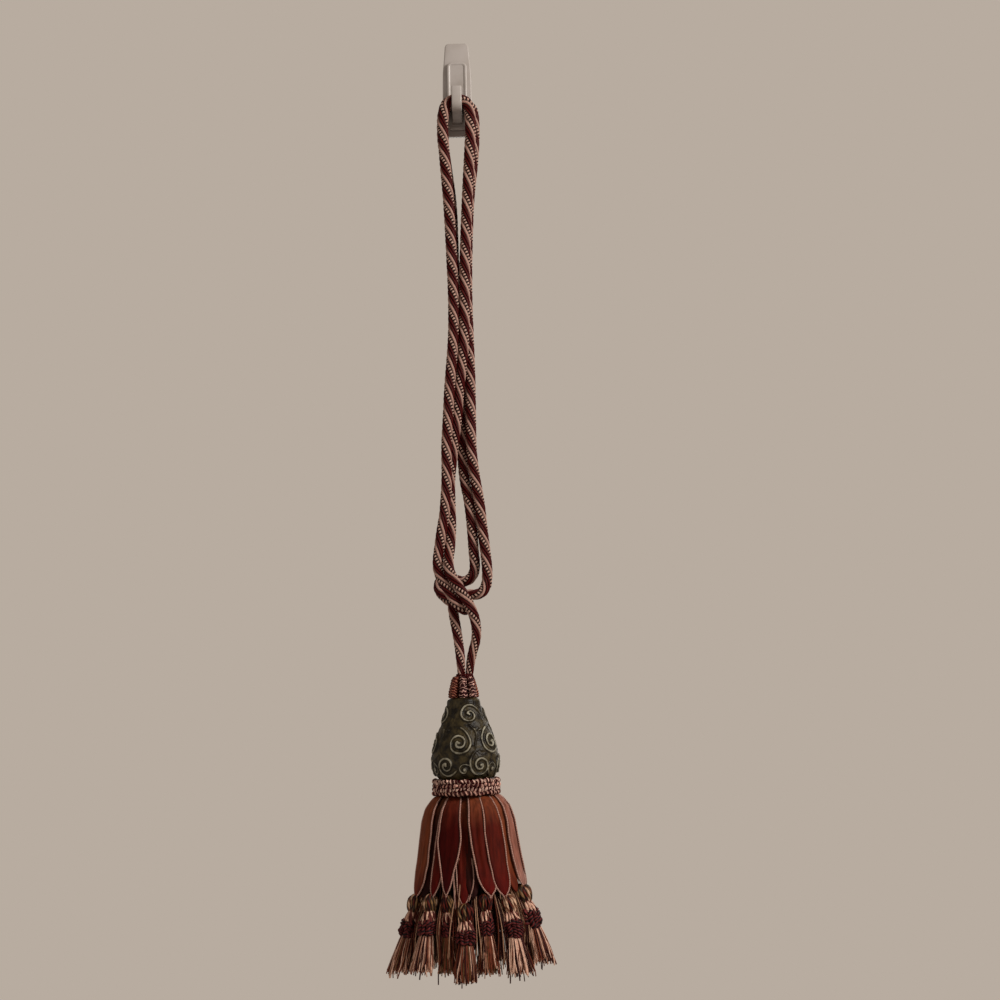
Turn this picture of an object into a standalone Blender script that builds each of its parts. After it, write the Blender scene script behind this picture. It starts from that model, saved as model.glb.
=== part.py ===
"""A curtain tieback tassel hanging at rest on its wall hook.

Metres, +Z up. The wall is the plane y = 0 and the object stands in front of it, at negative y.
The origin is the middle of the hook plate's back face. One rope runs from the tassel's neck,
over the hook twice and back to the neck, and is knotted above the tassel.
"""

import math
from collections import namedtuple

import bmesh
import bpy
from mathutils import Euler, Vector

COLLECTION_NAME = "curtain_tieback_tassel"
GAP = 0.0003  # left between pieces that touch

# Hook: a tall plate whose sides flare below its top, a raised panel on it and an arm that
# turns up at its tip. PLATE_FLARE gives half widths and heights between the corners.
PLATE_HEIGHT = 0.100
PLATE_BOTTOM_WIDTH = 0.0304
PLATE_TOP_WIDTH = 0.0238
PLATE_FLARE = ((0.01485, 0.003), (0.01450, 0.019), (0.01375, 0.027), (0.01300, 0.035))
PLATE_THICKNESS = 0.0040
PLATE_CORNER = 0.0042
PLATE_EDGE = 0.0010
PANEL_WIDTH = 0.0206
PANEL_TOP = 0.0282
PANEL_BOTTOM = -0.0440
PANEL_FACE = 0.0081  # from the wall to the panel's front face
PANEL_CORNER = 0.0052
PANEL_EDGE = 0.0015
ARM_WIDTH = 0.0100
ARM_FLOOR = -0.0251  # height of the trough that the rope lies in
ARM_DEPTH = 0.0052
ARM_EDGE = 0.0009
ARM_INSIDE_RADIUS = 0.0030
ARM_OUTSIDE_RADIUS = 0.0075
ARM_ROOT = 0.0061  # the arm starts inside the panel, this far from the wall
ARM_ROOT_BOTTOM = -0.0400
ARM_BRACE = (0.0150, -0.0318)  # where the underside starts to slope back to the panel
TIP_INNER = 0.0292  # from the wall to the near face of the upturned tip
TIP_OUTER = 0.0332
TIP_TOP = -0.0070

# Rope: its diameter, and how far its tube's straight pieces may run and bow from the route.
ROPE_DIAMETER = 0.0096
MOST_RUN = 0.056
MOST_BOW = 0.00055

# The rope's route in millimetres: x, distance from the wall, z. It starts at the neck's left
# strand, passes through the knot, goes over the hook, comes back for a turn round the knot,
# goes over the hook again and ends at the neck's right strand.
NECK_LEFT = (
    (-3.2, 47.4, -598.5),
    (-3.6, 46.4, -590.0),
    (-4.4, 44.0, -579.0),
    (-6.0, 41.2, -566.0),
    (-8.0, 39.0, -553.0),
    (-10.0, 37.4, -541.0),
    (-10.6, 36.8, -532.0),
    (-7.8, 36.8, -524.8),
    (-1.9, 37.0, -521.9),
    (4.9, 37.2, -521.8),
    (11.6, 37.6, -522.0),
    (17.8, 37.6, -519.4),
    (21.6, 37.0, -512.6),
    (22.7, 36.2, -503.0),
    (22.4, 35.4, -492.0),
)
RIGHT_OUTER_LEG = (
    (21.0, 33.4, -478.0),
    (18.9, 32.7, -459.0),
    (16.0, 32.0, -430.0),
    (12.6, 30.6, -409.0),
    (9.4, 27.4, -380.0),
    (9.1, 23.0, -345.0),
    (9.0, 20.0, -310.0),
    (8.2, 18.4, -272.0),
    (7.2, 16.4, -228.0),
    (7.6, 15.0, -186.0),
    (10.6, 14.0, -121.0),
    (15.2, 13.4, -79.0),
)
BACK_BIGHT = (
    (16.8, 13.4, -54.0),
    (16.9, 13.4, -42.0),
    (16.2, 13.4, -30.5),
    (14.6, 13.4, -24.9),
    (10.6, 13.4, -20.7),
    (5.4, 13.4, -19.3),
    (0.4, 13.4, -19.1),
    (-4.4, 13.4, -19.3),
    (-9.2, 13.4, -20.9),
    (-13.0, 13.4, -24.9),
    (-14.6, 13.4, -30.5),
    (-15.4, 13.4, -42.0),
    (-15.4, 13.4, -54.0),
)
RIGHT_INNER_LEG = (
    (-12.6, 13.6, -80.0),
    (-7.4, 14.2, -126.0),
    (-5.6, 14.8, -186.0),
    (-3.6, 15.4, -228.0),
    (-2.0, 15.8, -272.0),
    (-0.6, 14.6, -310.0),
    (0.2, 15.8, -345.0),
    (0.0, 20.4, -380.0),
    (2.2, 24.4, -409.0),
    (6.0, 27.4, -430.0),
    (8.8, 28.8, -459.0),
    (9.8, 29.0, -478.0),
)
WRAP = (
    (10.8, 29.0, -491.0),
    (10.0, 28.9, -499.4),
    (6.0, 28.6, -505.8),
    (-0.4, 27.8, -508.6),
    (-6.6, 26.6, -507.2),
    (-12.6, 25.6, -504.8),
    (-18.6, 25.2, -504.6),
    (-23.6, 25.4, -508.6),
    (-24.6, 25.7, -514.8),
    (-21.4, 26.0, -520.6),
    (-16.4, 26.0, -525.4),
    (-10.8, 26.0, -529.8),
    (-4.8, 27.4, -533.2),
    (-0.4, 31.0, -535.6),
    (1.0, 36.6, -536.6),
    (-0.8, 42.2, -536.0),
    (-5.2, 46.4, -532.6),
    (-9.8, 47.0, -526.8),
    (-13.4, 46.8, -520.0),
    (-17.4, 45.6, -513.0),
    (-21.4, 43.2, -506.0),
    (-24.2, 41.0, -497.4),
    (-24.5, 40.0, -488.0),
)
LEFT_OUTER_LEG = (
    (-22.8, 39.6, -475.0),
    (-20.4, 39.2, -459.0),
    (-17.8, 38.8, -444.0),
    (-16.4, 38.4, -429.5),
    (-15.1, 37.8, -409.0),
    (-14.8, 36.6, -376.0),
    (-13.0, 35.4, -347.0),
    (-11.2, 34.2, -318.0),
    (-8.8, 33.2, -291.0),
    (-6.9, 32.2, -266.0),
    (-6.3, 30.4, -228.0),
    (-7.4, 28.2, -188.0),
    (-9.8, 26.2, -128.0),
    (-13.0, 24.8, -82.0),
)
FRONT_BIGHT = (
    (-14.6, 24.0, -54.0),
    (-14.6, 23.9, -42.0),
    (-13.1, 23.9, -30.0),
    (-11.3, 23.9, -24.6),
    (-7.8, 23.9, -20.9),
    (-3.6, 23.9, -19.3),
    (0.2, 23.9, -19.1),
    (4.0, 23.9, -19.3),
    (8.0, 23.9, -21.0),
    (11.2, 23.9, -24.8),
    (12.6, 23.9, -30.5),
    (13.4, 23.9, -42.0),
    (13.3, 24.0, -54.0),
)
LEFT_INNER_LEG = (
    (11.6, 24.6, -82.0),
    (8.9, 25.0, -124.0),
    (5.8, 27.0, -186.0),
    (4.8, 29.2, -228.0),
    (3.8, 30.2, -264.0),
    (1.4, 28.6, -291.0),
    (-1.8, 26.8, -316.0),
    (-4.6, 26.2, -345.0),
    (-8.4, 26.6, -376.0),
    (-12.2, 27.0, -409.0),
    (-12.2, 28.6, -430.0),
    (-11.8, 31.2, -454.0),
    (-12.8, 35.8, -474.0),
)
NECK_RIGHT = (
    (-14.4, 42.4, -489.0),
    (-13.2, 47.0, -500.0),
    (-8.6, 49.8, -509.2),
    (-3.2, 50.9, -517.4),
    (2.0, 51.1, -526.2),
    (6.8, 50.0, -535.8),
    (10.2, 47.2, -545.6),
    (11.6, 44.4, -556.0),
    (10.8, 42.2, -566.0),
    (8.2, 41.0, -575.0),
    (5.8, 40.6, -585.0),
    (4.0, 40.9, -598.8),
)

# Tassel: its axis hangs from the neck, a little off plumb, with its back pressed to the wall.
# Heights below are measured along the axis from the top of the neck ruff, downwards.
TASSEL_TOP = Vector((-0.0009, -0.0443, -0.6000))
HEAD_SHIFT = Vector((-0.0010, 0.0, 0.0))  # the ruff, head and collar sit this far off the skirt's axis
TASSEL_LEAN = 0.9  # degrees: the foot swings towards +X
TASSEL_PITCH = 1.2  # degrees: the foot stands out from the wall
FRONT_SHARE = 0.82  # how deep the skirt's front is for its half width
BACK_REACH = 0.0370  # how far behind the axis the wall lets a piece's middle go

Turned = namedtuple("Turned", "z radius")
NECK_RUFF_LOBES, NECK_RUFF_DEPTH = 7, 0.0011
NECK_RUFF = (
    Turned(0.0, 0.0092),
    Turned(-0.0025, 0.0108),
    Turned(-0.0070, 0.0124),
    Turned(-0.0125, 0.0136),
    Turned(-0.0180, 0.0144),
    Turned(-0.0208, 0.0134),
)
ROUND_STEPS = 24
HEAD_OUTLINE = (
    Turned(-0.0211, 0.0150),
    Turned(-0.0225, 0.0164),
    Turned(-0.0285, 0.0170),
    Turned(-0.0333, 0.0184),
    Turned(-0.0396, 0.0208),
    Turned(-0.0506, 0.0254),
    Turned(-0.0570, 0.0278),
    Turned(-0.0617, 0.0292),
    Turned(-0.0670, 0.0306),
    Turned(-0.0740, 0.0318),
    Turned(-0.0800, 0.0321),
    Turned(-0.0850, 0.0318),
    Turned(-0.0900, 0.0302),
    Turned(-0.0935, 0.0280),
    Turned(-0.0955, 0.0264),
)
COLLAR_TOP, COLLAR_ROWS, COLLAR_ROW_HEIGHT = -0.0958, 4, 0.0036
COLLAR_RADIUS, COLLAR_BULGE = 0.0308, 0.0009

CORE_BACK_REACH = 0.0320
CORE = (
    Turned(-0.1105, 0.0150),
    Turned(-0.1170, 0.0195),
    Turned(-0.1300, 0.0250),
    Turned(-0.1500, 0.0290),
    Turned(-0.1750, 0.0325),
    Turned(-0.1980, 0.0350),
    Turned(-0.2150, 0.0355),
    Turned(-0.2330, 0.0310),
)

# A petal's sections: how far down, how far its middle is from the axis, its half width and
# half thickness as shares of the petal's own, and the share of its tuck behind its neighbours.
PetalSection = namedtuple("PetalSection", "z reach width thickness tucked")
PETAL_SECTIONS = (
    PetalSection(-0.1106, 0.0308, 0.46, 0.45, 1.00),
    PetalSection(-0.1145, 0.0344, 0.60, 0.75, 1.00),
    PetalSection(-0.1220, 0.0374, 0.76, 0.95, 1.00),
    PetalSection(-0.1350, 0.0408, 0.92, 1.00, 1.00),
    PetalSection(-0.1520, 0.0432, 1.00, 1.00, 1.00),
    PetalSection(-0.1700, 0.0458, 1.00, 1.00, 1.00),
    PetalSection(-0.1840, 0.0488, 0.84, 0.95, 0.90),
    PetalSection(-0.1935, 0.0513, 0.54, 0.80, 0.60),
    PetalSection(-0.1985, 0.0526, 0.18, 0.45, 0.35),
)
PETAL_THICKNESS = 0.0052
PETAL_AROUND = 8
PETAL_LENGTH = PETAL_SECTIONS[0].z - PETAL_SECTIONS[-1].z

# Each petal ends just above a small tassel: a turban of plump cord loops, a ruff of tight ones
# and a cut fringe. drop lengthens a petal, and swing is how far its small tassel stands out.
Petal = namedtuple("Petal", "angle half_width tuck drop tassel_angle tassel_size swing")
PETALS = (
    Petal(-78.5, 0.0091, 0.0, 0.0010, -78.0, 1.04, 1.25),
    Petal(-49.5, 0.0091, 0.0, -0.0010, -46.5, 1.02, 1.00),
    Petal(-22.5, 0.0100, 0.0, -0.0010, -24.0, 0.84, 0.20),
    Petal(-3.5, 0.0096, 0.0066, 0.0070, -4.5, 1.00, 1.00),
    Petal(15.5, 0.0098, 0.0, -0.0010, 16.5, 0.84, 0.20),
    Petal(42.5, 0.0090, 0.0, 0.0015, 43.5, 1.04, 0.90),
    Petal(71.5, 0.0091, 0.0, -0.0047, 73.5, 1.06, 1.10),
    Petal(101.4, 0.0091, 0.0, -0.0030, 101.4, 0.90, 0.60),
    Petal(131.2, 0.0102, 0.0, 0.0, 131.2, 0.90, 0.60),
    Petal(161.0, 0.0108, 0.0, 0.0, 161.0, 0.90, 0.60),
    Petal(-169.1, 0.0108, 0.0, 0.0, -169.1, 0.90, 0.60),
    Petal(-139.2, 0.0102, 0.0, 0.0, -139.2, 0.90, 0.60),
    Petal(-109.4, 0.0092, 0.0, 0.0, -109.4, 0.90, 0.60),
)

# Sections of a small tassel's three pieces, z down from the petal's tip: reach is from the
# axis, out is added for a full swing, width and depth are half sizes along the skirt and across.
SmallSection = namedtuple("SmallSection", "z reach out width depth")
SMALL_AROUND = 8
TURBAN = (
    SmallSection(-0.0003, 0.0485, 0.0020, 0.0044, 0.0040),
    SmallSection(-0.0036, 0.0486, 0.0024, 0.0072, 0.0064),
    SmallSection(-0.0080, 0.0487, 0.0030, 0.0078, 0.0068),
    SmallSection(-0.0120, 0.0488, 0.0036, 0.0070, 0.0062),
    SmallSection(-0.0148, 0.0488, 0.0040, 0.0050, 0.0046),
)
RUFF = (
    SmallSection(-0.0151, 0.0488, 0.0040, 0.0048, 0.0044),
    SmallSection(-0.0200, 0.0490, 0.0050, 0.0066, 0.0060),
    SmallSection(-0.0250, 0.0491, 0.0062, 0.0088, 0.0080),
    SmallSection(-0.0305, 0.0492, 0.0076, 0.0092, 0.0082),
    SmallSection(-0.0345, 0.0493, 0.0088, 0.0082, 0.0074),
    SmallSection(-0.0362, 0.0493, 0.0092, 0.0060, 0.0056),
)
FRINGE = (
    SmallSection(-0.0365, 0.0493, 0.0092, 0.0062, 0.0058),
    SmallSection(-0.0430, 0.0496, 0.0106, 0.0084, 0.0072),
    SmallSection(-0.0560, 0.0500, 0.0136, 0.0110, 0.0084),
    SmallSection(-0.0680, 0.0502, 0.0166, 0.0124, 0.0090),
)


def clear_scene():
    """Remove everything that Blender starts with."""
    for thing in list(bpy.data.objects):
        bpy.data.objects.remove(thing, do_unlink=True)


def new_collection(name):
    """A collection linked to the scene."""
    collection = bpy.data.collections.new(name)
    bpy.context.scene.collection.children.link(collection)
    return collection


def new_material(name, colour, roughness, metallic=0.0):
    """A Principled material of one colour."""
    material = bpy.data.materials.new(name)
    material.use_nodes = True
    shader = material.node_tree.nodes["Principled BSDF"]
    shader.inputs["Base Color"].default_value = (*colour, 1.0)
    shader.inputs["Roughness"].default_value = roughness
    shader.inputs["Metallic"].default_value = metallic
    material.diffuse_color = (*colour, 1.0)
    return material


def new_object(name, data, collection, material, parent=None):
    """An object in the collection, with its material."""
    thing = bpy.data.objects.new(name, data)
    collection.objects.link(thing)
    data.materials.append(material)
    thing.parent = parent
    return thing


def flat_outline(name, points, thickness, edge):
    """A 2D curve object through the points, extruded to the thickness, with its edges eased."""
    curve = bpy.data.curves.new(name, "CURVE")
    curve.dimensions = "2D"
    curve.fill_mode = "BOTH"
    curve.extrude = thickness / 2 - edge
    curve.bevel_depth = edge
    curve.bevel_resolution = 1
    curve.offset = -edge
    spline = curve.splines.new("POLY")
    spline.points.add(len(points) - 1)
    for point, (across, up) in zip(spline.points, points):
        point.co = (across, up, 0.0, 1.0)
    spline.use_cyclic_u = True
    return curve


def arc(centre, radius, start, end, steps):
    """Points on an arc, in degrees from +X, both ends counted."""
    turns = [math.radians(start + (end - start) * i / steps) for i in range(steps + 1)]
    return [(centre[0] + radius * math.cos(a), centre[1] + radius * math.sin(a)) for a in turns]


def rounded_outline(top_width, bottom_width, top, bottom, corner, flare=()):
    """An upright shape with four rounded corners, whose sides pass through the flare's points."""
    right = [
        *arc((bottom_width / 2 - corner, bottom + corner), corner, -90, 0, 4),
        *flare,
        *arc((top_width / 2 - corner, top - corner), corner, 0, 90, 4),
    ]
    return right + [(-across, up) for across, up in reversed(right)]


def mesh_of(thing):
    """The evaluated mesh of a curve object, welded; the curve object is removed."""
    graph = bpy.context.evaluated_depsgraph_get()
    mesh = bpy.data.meshes.new_from_object(thing.evaluated_get(graph))
    bm = bmesh.new()
    bm.from_mesh(mesh)
    bmesh.ops.remove_doubles(bm, verts=bm.verts, dist=1e-6)
    bmesh.ops.recalc_face_normals(bm, faces=bm.faces)
    bmesh.ops.transform(bm, matrix=thing.matrix_world, verts=bm.verts)
    bm.to_mesh(mesh)
    bm.free()
    bpy.data.objects.remove(thing, do_unlink=True)
    return mesh


def build_plate(collection, material):
    """The hook's back plate, flat on the wall."""
    half = PLATE_HEIGHT / 2
    points = rounded_outline(
        PLATE_TOP_WIDTH, PLATE_BOTTOM_WIDTH, half, -half, PLATE_CORNER, PLATE_FLARE
    )
    curve = flat_outline("hook_plate", points, PLATE_THICKNESS, PLATE_EDGE)
    plate = new_object("hook_plate", curve, collection, material)
    plate.location = (0.0, -PLATE_THICKNESS / 2, 0.0)
    plate.rotation_euler = (math.radians(90.0), 0.0, 0.0)
    return plate


def arm_outline():
    """The arm from the side: distance from the wall, and height."""
    inner, outer, end = ARM_INSIDE_RADIUS, ARM_OUTSIDE_RADIUS, (TIP_OUTER - TIP_INNER) / 2
    return [
        (ARM_ROOT, ARM_FLOOR),
        *arc((TIP_INNER - inner, ARM_FLOOR + inner), inner, -90, 0, 4),
        *arc((TIP_INNER + end, TIP_TOP - end), end, 180, 0, 6),
        *arc((TIP_OUTER - outer, ARM_FLOOR - ARM_DEPTH + outer), outer, 0, -90, 6),
        ARM_BRACE,
        (ARM_ROOT, ARM_ROOT_BOTTOM),
    ]


def build_hook(collection, cutters, material):
    """The hook: a raised panel on the plate, joined to the arm that carries the rope."""
    thickness = PANEL_FACE - PLATE_THICKNESS - GAP
    points = rounded_outline(PANEL_WIDTH, PANEL_WIDTH, PANEL_TOP, PANEL_BOTTOM, PANEL_CORNER)
    panel_curve = flat_outline("panel", points, thickness, PANEL_EDGE)
    panel = new_object("panel", panel_curve, collection, material)
    panel.location = (0.0, -(PLATE_THICKNESS + GAP + thickness / 2), 0.0)
    panel.rotation_euler = (math.radians(90.0), 0.0, 0.0)

    arm_curve = flat_outline("arm", arm_outline(), ARM_WIDTH, ARM_EDGE)
    arm = new_object("arm", arm_curve, collection, material)
    arm.rotation_euler = (math.radians(90.0), 0.0, math.radians(-90.0))
    bpy.context.view_layer.update()

    hook = new_object("hook", mesh_of(panel), collection, material)
    joined = new_object("arm_to_join", mesh_of(arm), cutters, material)
    joined.hide_render = True
    joined.display_type = "WIRE"
    join = hook.modifiers.new("join_arm", "BOOLEAN")
    join.operation = "UNION"
    join.object = joined
    return hook


def smooth_route(points, steps=12):
    """A centripetal Catmull-Rom curve through the points, with steps pieces between neighbours."""
    line = [Vector(p) for p in points]
    ends = [2 * line[0] - line[1], *line, 2 * line[-1] - line[-2]]
    fine = []
    for four in zip(ends, ends[1:], ends[2:], ends[3:]):
        times = [0.0]
        for one, other in zip(four, four[1:]):
            times.append(times[-1] + (other - one).length ** 0.5)
        for i in range(steps):
            fine.append(between(four, times, times[1] + (times[2] - times[1]) * i / steps))
    return [*fine, line[-1]]


def between(four, times, t):
    """The curve's point at time t, which lies between the second and third of four neighbours."""

    def blend(one, other, low, high):
        return one.lerp(other, (t - times[low]) / (times[high] - times[low]))

    a = blend(four[0], four[1], 0, 1)
    b = blend(four[1], four[2], 1, 2)
    c = blend(four[2], four[3], 2, 3)
    return blend(blend(a, b, 0, 2), blend(b, c, 1, 3), 1, 2)


def rope_route():
    """The rope's own points in metres, in order from the neck's left strand to its right one."""
    legs = (
        NECK_LEFT,
        RIGHT_OUTER_LEG,
        BACK_BIGHT,
        RIGHT_INNER_LEG,
        WRAP,
        LEFT_OUTER_LEG,
        FRONT_BIGHT,
        LEFT_INNER_LEG,
        NECK_RIGHT,
    )
    return [Vector((x, -out, z)) / 1000 for leg in legs for x, out, z in leg]


def spaced_points(line):
    """Points of the smooth route, close together where it bends and far apart where it runs.

    A straight piece that runs a length and turns an angle bows about an eighth of their product.
    """
    chosen = [line[0]]
    heading = line[1] - line[0]
    run = 0.0
    for before, here in zip(line, line[1:]):
        step = here - before
        run += step.length
        if run >= MOST_RUN or run * step.angle(heading) / 8 >= MOST_BOW:
            chosen.append(here)
            heading = step
            run = 0.0
    if run < MOST_RUN / 4:
        chosen.pop()
    return [*chosen, line[-1]]


def build_rope(collection, material):
    """The rope, as one plain tube along its route."""
    points = spaced_points(smooth_route(rope_route()))
    curve = bpy.data.curves.new("rope", "CURVE")
    curve.dimensions = "3D"
    curve.bevel_depth = ROPE_DIAMETER / 2
    curve.bevel_resolution = 2
    curve.use_fill_caps = True
    spline = curve.splines.new("POLY")
    spline.points.add(len(points) - 1)
    for target, point in zip(spline.points, points):
        target.co = (*point, 1.0)
    return new_object("rope", curve, collection, material)


def oval(angle, reach, back=BACK_REACH):
    """A point round the tassel's axis. 0 degrees faces the room, and the back is pressed in."""
    turn = math.radians(angle)
    depth = reach * FRONT_SHARE
    if math.cos(turn) < 0:
        depth = min(depth, back)
    return Vector((reach * math.sin(turn), -depth * math.cos(turn), 0.0))


def outward(angle, reach, back=BACK_REACH):
    """The direction that faces away from the skirt at an angle, square to the oval there."""
    along = oval(angle + 1.0, reach, back) - oval(angle - 1.0, reach, back)
    return Vector((along.y, -along.x, 0.0)).normalized()


def moulded(name, sections, around, place):
    """A closed soft solid: a sphere whose rings are moved to the sections.

    place(section, turn, share) gives a point of a section; share is 0 at its middle and 1 at
    its rim, and the middles of the first and last sections close the ends.
    """
    bm = bmesh.new()
    rings = len(sections) + 1
    bmesh.ops.create_uvsphere(bm, u_segments=around, v_segments=rings, radius=1.0)
    for vert in bm.verts:
        ring = round(math.acos(max(-1.0, min(1.0, vert.co.z))) / math.pi * rings)
        share = 0.0 if ring in (0, rings) else 1.0
        section = sections[min(max(ring, 1), rings - 1) - 1]
        vert.co = place(section, math.atan2(vert.co.y, vert.co.x), share)
    if bm.calc_volume(signed=True) < 0:
        bmesh.ops.reverse_faces(bm, faces=bm.faces)
    mesh = bpy.data.meshes.new(name)
    bm.to_mesh(mesh)
    bm.free()
    mesh.shade_smooth()
    return mesh


def build_neck_ruff(collection, material, axis):
    """The ring of short cord loops round the neck, as a lobed collar."""

    def place(section, turn, share):
        lobe = math.cos(NECK_RUFF_LOBES * (turn + math.pi / 2))  # one lobe faces the room
        radius = share * (section.radius + NECK_RUFF_DEPTH * lobe)
        return Vector((radius * math.cos(turn), radius * math.sin(turn), section.z))

    mesh = moulded("neck_ruff", NECK_RUFF, 4 * NECK_RUFF_LOBES, place)
    return new_object("neck_ruff", mesh, collection, material, axis)


def turned(name, outline, steps, collection, material, axis):
    """A solid of revolution: the outline runs down its outer side and is closed at the axis."""
    bm = bmesh.new()
    rim = [(0.0, outline[0].z), *[(p.radius, p.z) for p in outline], (0.0, outline[-1].z)]
    verts = [bm.verts.new((radius, 0.0, z)) for radius, z in rim]
    for one, other in zip(verts, verts[1:]):
        bm.edges.new((one, other))
    mesh = bpy.data.meshes.new(name)
    bm.to_mesh(mesh)
    bm.free()
    thing = new_object(name, mesh, collection, material, axis)
    screw = thing.modifiers.new("turn", "SCREW")
    screw.steps = steps
    screw.render_steps = steps
    screw.use_merge_vertices = True
    screw.merge_threshold = 0.00001
    return thing


def collar_outline():
    """The collar's stacked rows of cord, as a rippled outline."""
    points = []
    for row in range(COLLAR_ROWS):
        for share, bulge in ((0.05, 0.0), (0.5, COLLAR_BULGE), (0.95, 0.0)):
            z = COLLAR_TOP - (row + share) * COLLAR_ROW_HEIGHT
            points.append(Turned(z, COLLAR_RADIUS + bulge))
    return points


def build_core(collection, material, axis):
    """The bullion core that the petals and small tassels hang round."""

    def place(section, turn, share):
        rim = oval(math.degrees(turn), section.radius, CORE_BACK_REACH)
        return rim * share + Vector((0.0, 0.0, section.z))

    mesh = moulded("skirt_core", CORE, ROUND_STEPS, place)
    return new_object("skirt_core", mesh, collection, material, axis)


def build_petal(number, petal, collection, material, axis):
    """One long petal: a flat teardrop that follows the skirt's outline."""

    def place(section, turn, share):
        reach = section.reach - petal.tuck * section.tucked
        facing = outward(petal.angle, reach)
        along = Vector((-facing.y, facing.x, 0.0))
        across = petal.half_width * section.width * math.cos(turn) * share
        out = PETAL_THICKNESS / 2 * section.thickness * math.sin(turn) * share
        wrapped = out - across**2 / (2 * reach)
        drop = petal.drop * (PETAL_SECTIONS[0].z - section.z) / PETAL_LENGTH
        height = Vector((0.0, 0.0, section.z - drop))
        return oval(petal.angle, reach) + along * across + facing * wrapped + height

    name = f"petal_{number:02d}"
    mesh = moulded(name, PETAL_SECTIONS, PETAL_AROUND, place)
    return new_object(name, mesh, collection, material, axis)


def build_small_tassel(number, petal, collection, materials, axis):
    """The small tassel below a petal: a turban of loops, a ruff and a cut fringe."""
    tip = PETAL_SECTIONS[-1].z - petal.drop

    def place(section, turn, share):
        reach = section.reach + section.out * petal.swing
        facing = outward(petal.tassel_angle, reach)
        along = Vector((-facing.y, facing.x, 0.0))
        across = section.width * petal.tassel_size * math.cos(turn) * share
        out = section.depth * petal.tassel_size * math.sin(turn) * share
        height = Vector((0.0, 0.0, tip + section.z))
        return oval(petal.tassel_angle, reach) + along * across + facing * out + height

    for kind, sections in (("turban", TURBAN), ("ruff", RUFF), ("fringe", FRINGE)):
        name = f"{kind}_{number:02d}"
        mesh = moulded(name, sections, SMALL_AROUND, place)
        new_object(name, mesh, collection, materials[kind], axis)


def leaning_axis(name, top, collection):
    """An empty at the top of an axis that leans as the tassel does."""
    axis = bpy.data.objects.new(name, None)
    collection.objects.link(axis)
    axis.location = top
    axis.rotation_euler = Euler((math.radians(-TASSEL_PITCH), math.radians(-TASSEL_LEAN), 0.0))
    return axis


def build_tassel(collection, materials):
    """Everything that hangs below the neck, parented to the tassel's leaning axis."""
    axis = leaning_axis("tassel_axis", TASSEL_TOP, collection)
    head_axis = leaning_axis("head_axis", TASSEL_TOP + HEAD_SHIFT, collection)
    build_neck_ruff(collection, materials["neck_ruff"], head_axis)
    turned("head", HEAD_OUTLINE, ROUND_STEPS, collection, materials["head"], head_axis)
    turned("collar", collar_outline(), ROUND_STEPS, collection, materials["collar"], head_axis)
    build_core(collection, materials["core"], axis)
    for number, petal in enumerate(PETALS, 1):
        build_petal(number, petal, collection, materials["petal"], axis)
        build_small_tassel(number, petal, collection, materials, axis)


def make_materials():
    """The materials, by the kind of piece that wears them."""
    return {
        "hook": new_material("white_hook", (0.80, 0.79, 0.77), 0.30),
        "rope": new_material("maroon_rope", (0.20, 0.05, 0.05), 0.70),
        "neck_ruff": new_material("striped_cord", (0.36, 0.16, 0.13), 0.75),
        "head": new_material("bronzed_resin", (0.055, 0.052, 0.032), 0.45),
        "collar": new_material("pink_braid", (0.42, 0.22, 0.19), 0.75),
        "core": new_material("dark_bullion", (0.055, 0.014, 0.012), 0.85),
        "petal": new_material("russet_organza", (0.20, 0.035, 0.022), 0.65),
        "turban": new_material("cream_loops", (0.42, 0.30, 0.20), 0.70),
        "ruff": new_material("plum_ruff", (0.10, 0.022, 0.030), 0.75),
        "fringe": new_material("mixed_fringe", (0.38, 0.20, 0.13), 0.75),
    }


def main():
    """Build the whole object."""
    clear_scene()
    collection = new_collection(COLLECTION_NAME)
    cutters = new_collection("cutters")
    materials = make_materials()
    build_plate(collection, materials["hook"])
    build_hook(collection, cutters, materials["hook"])
    build_rope(collection, materials["rope"])
    build_tassel(collection, materials)


main()
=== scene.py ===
"""Dresses the curtain tieback tassel: its wall hook, laid rope, carved head and corded skirt.

Everything is in metres in the same frame as the solids: the wall is the plane y = 0, the room is
at negative y, and the origin is the middle of the hook plate's back face.
"""

import logging
import random
from collections.abc import Callable, Iterable, Sequence
from dataclasses import dataclass, field
from enum import Enum
from math import atan2, copysign, cos, degrees, exp, hypot, pi, radians, sin, sqrt, tau
from typing import Protocol

import bmesh
import bpy
from mathutils import Euler, Matrix, Vector, noise

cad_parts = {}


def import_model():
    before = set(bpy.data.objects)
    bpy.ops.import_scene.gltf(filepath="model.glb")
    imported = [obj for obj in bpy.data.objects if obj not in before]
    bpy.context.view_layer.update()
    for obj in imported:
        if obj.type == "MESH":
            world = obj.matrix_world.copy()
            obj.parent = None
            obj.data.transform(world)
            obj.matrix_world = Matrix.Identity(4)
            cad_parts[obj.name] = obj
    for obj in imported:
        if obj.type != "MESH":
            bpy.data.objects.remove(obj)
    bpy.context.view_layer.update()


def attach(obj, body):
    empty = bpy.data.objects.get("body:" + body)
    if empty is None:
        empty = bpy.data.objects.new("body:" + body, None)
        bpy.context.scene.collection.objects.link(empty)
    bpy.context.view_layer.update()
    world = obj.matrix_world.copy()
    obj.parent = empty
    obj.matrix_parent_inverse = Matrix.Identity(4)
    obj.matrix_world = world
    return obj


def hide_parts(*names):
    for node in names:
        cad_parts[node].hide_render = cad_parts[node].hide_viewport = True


BMesh = bmesh.types.BMesh
Material = bpy.types.Material
Mesh = bpy.types.Mesh
Piece = bpy.types.Object
Socket = bpy.types.NodeSocket
Colour = tuple[float, float, float, float]
Shown = tuple[int, int, int]
Span = tuple[float, float]
Rows = tuple[tuple[float, ...], ...]
Place = Callable[[float, float], Vector]

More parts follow.
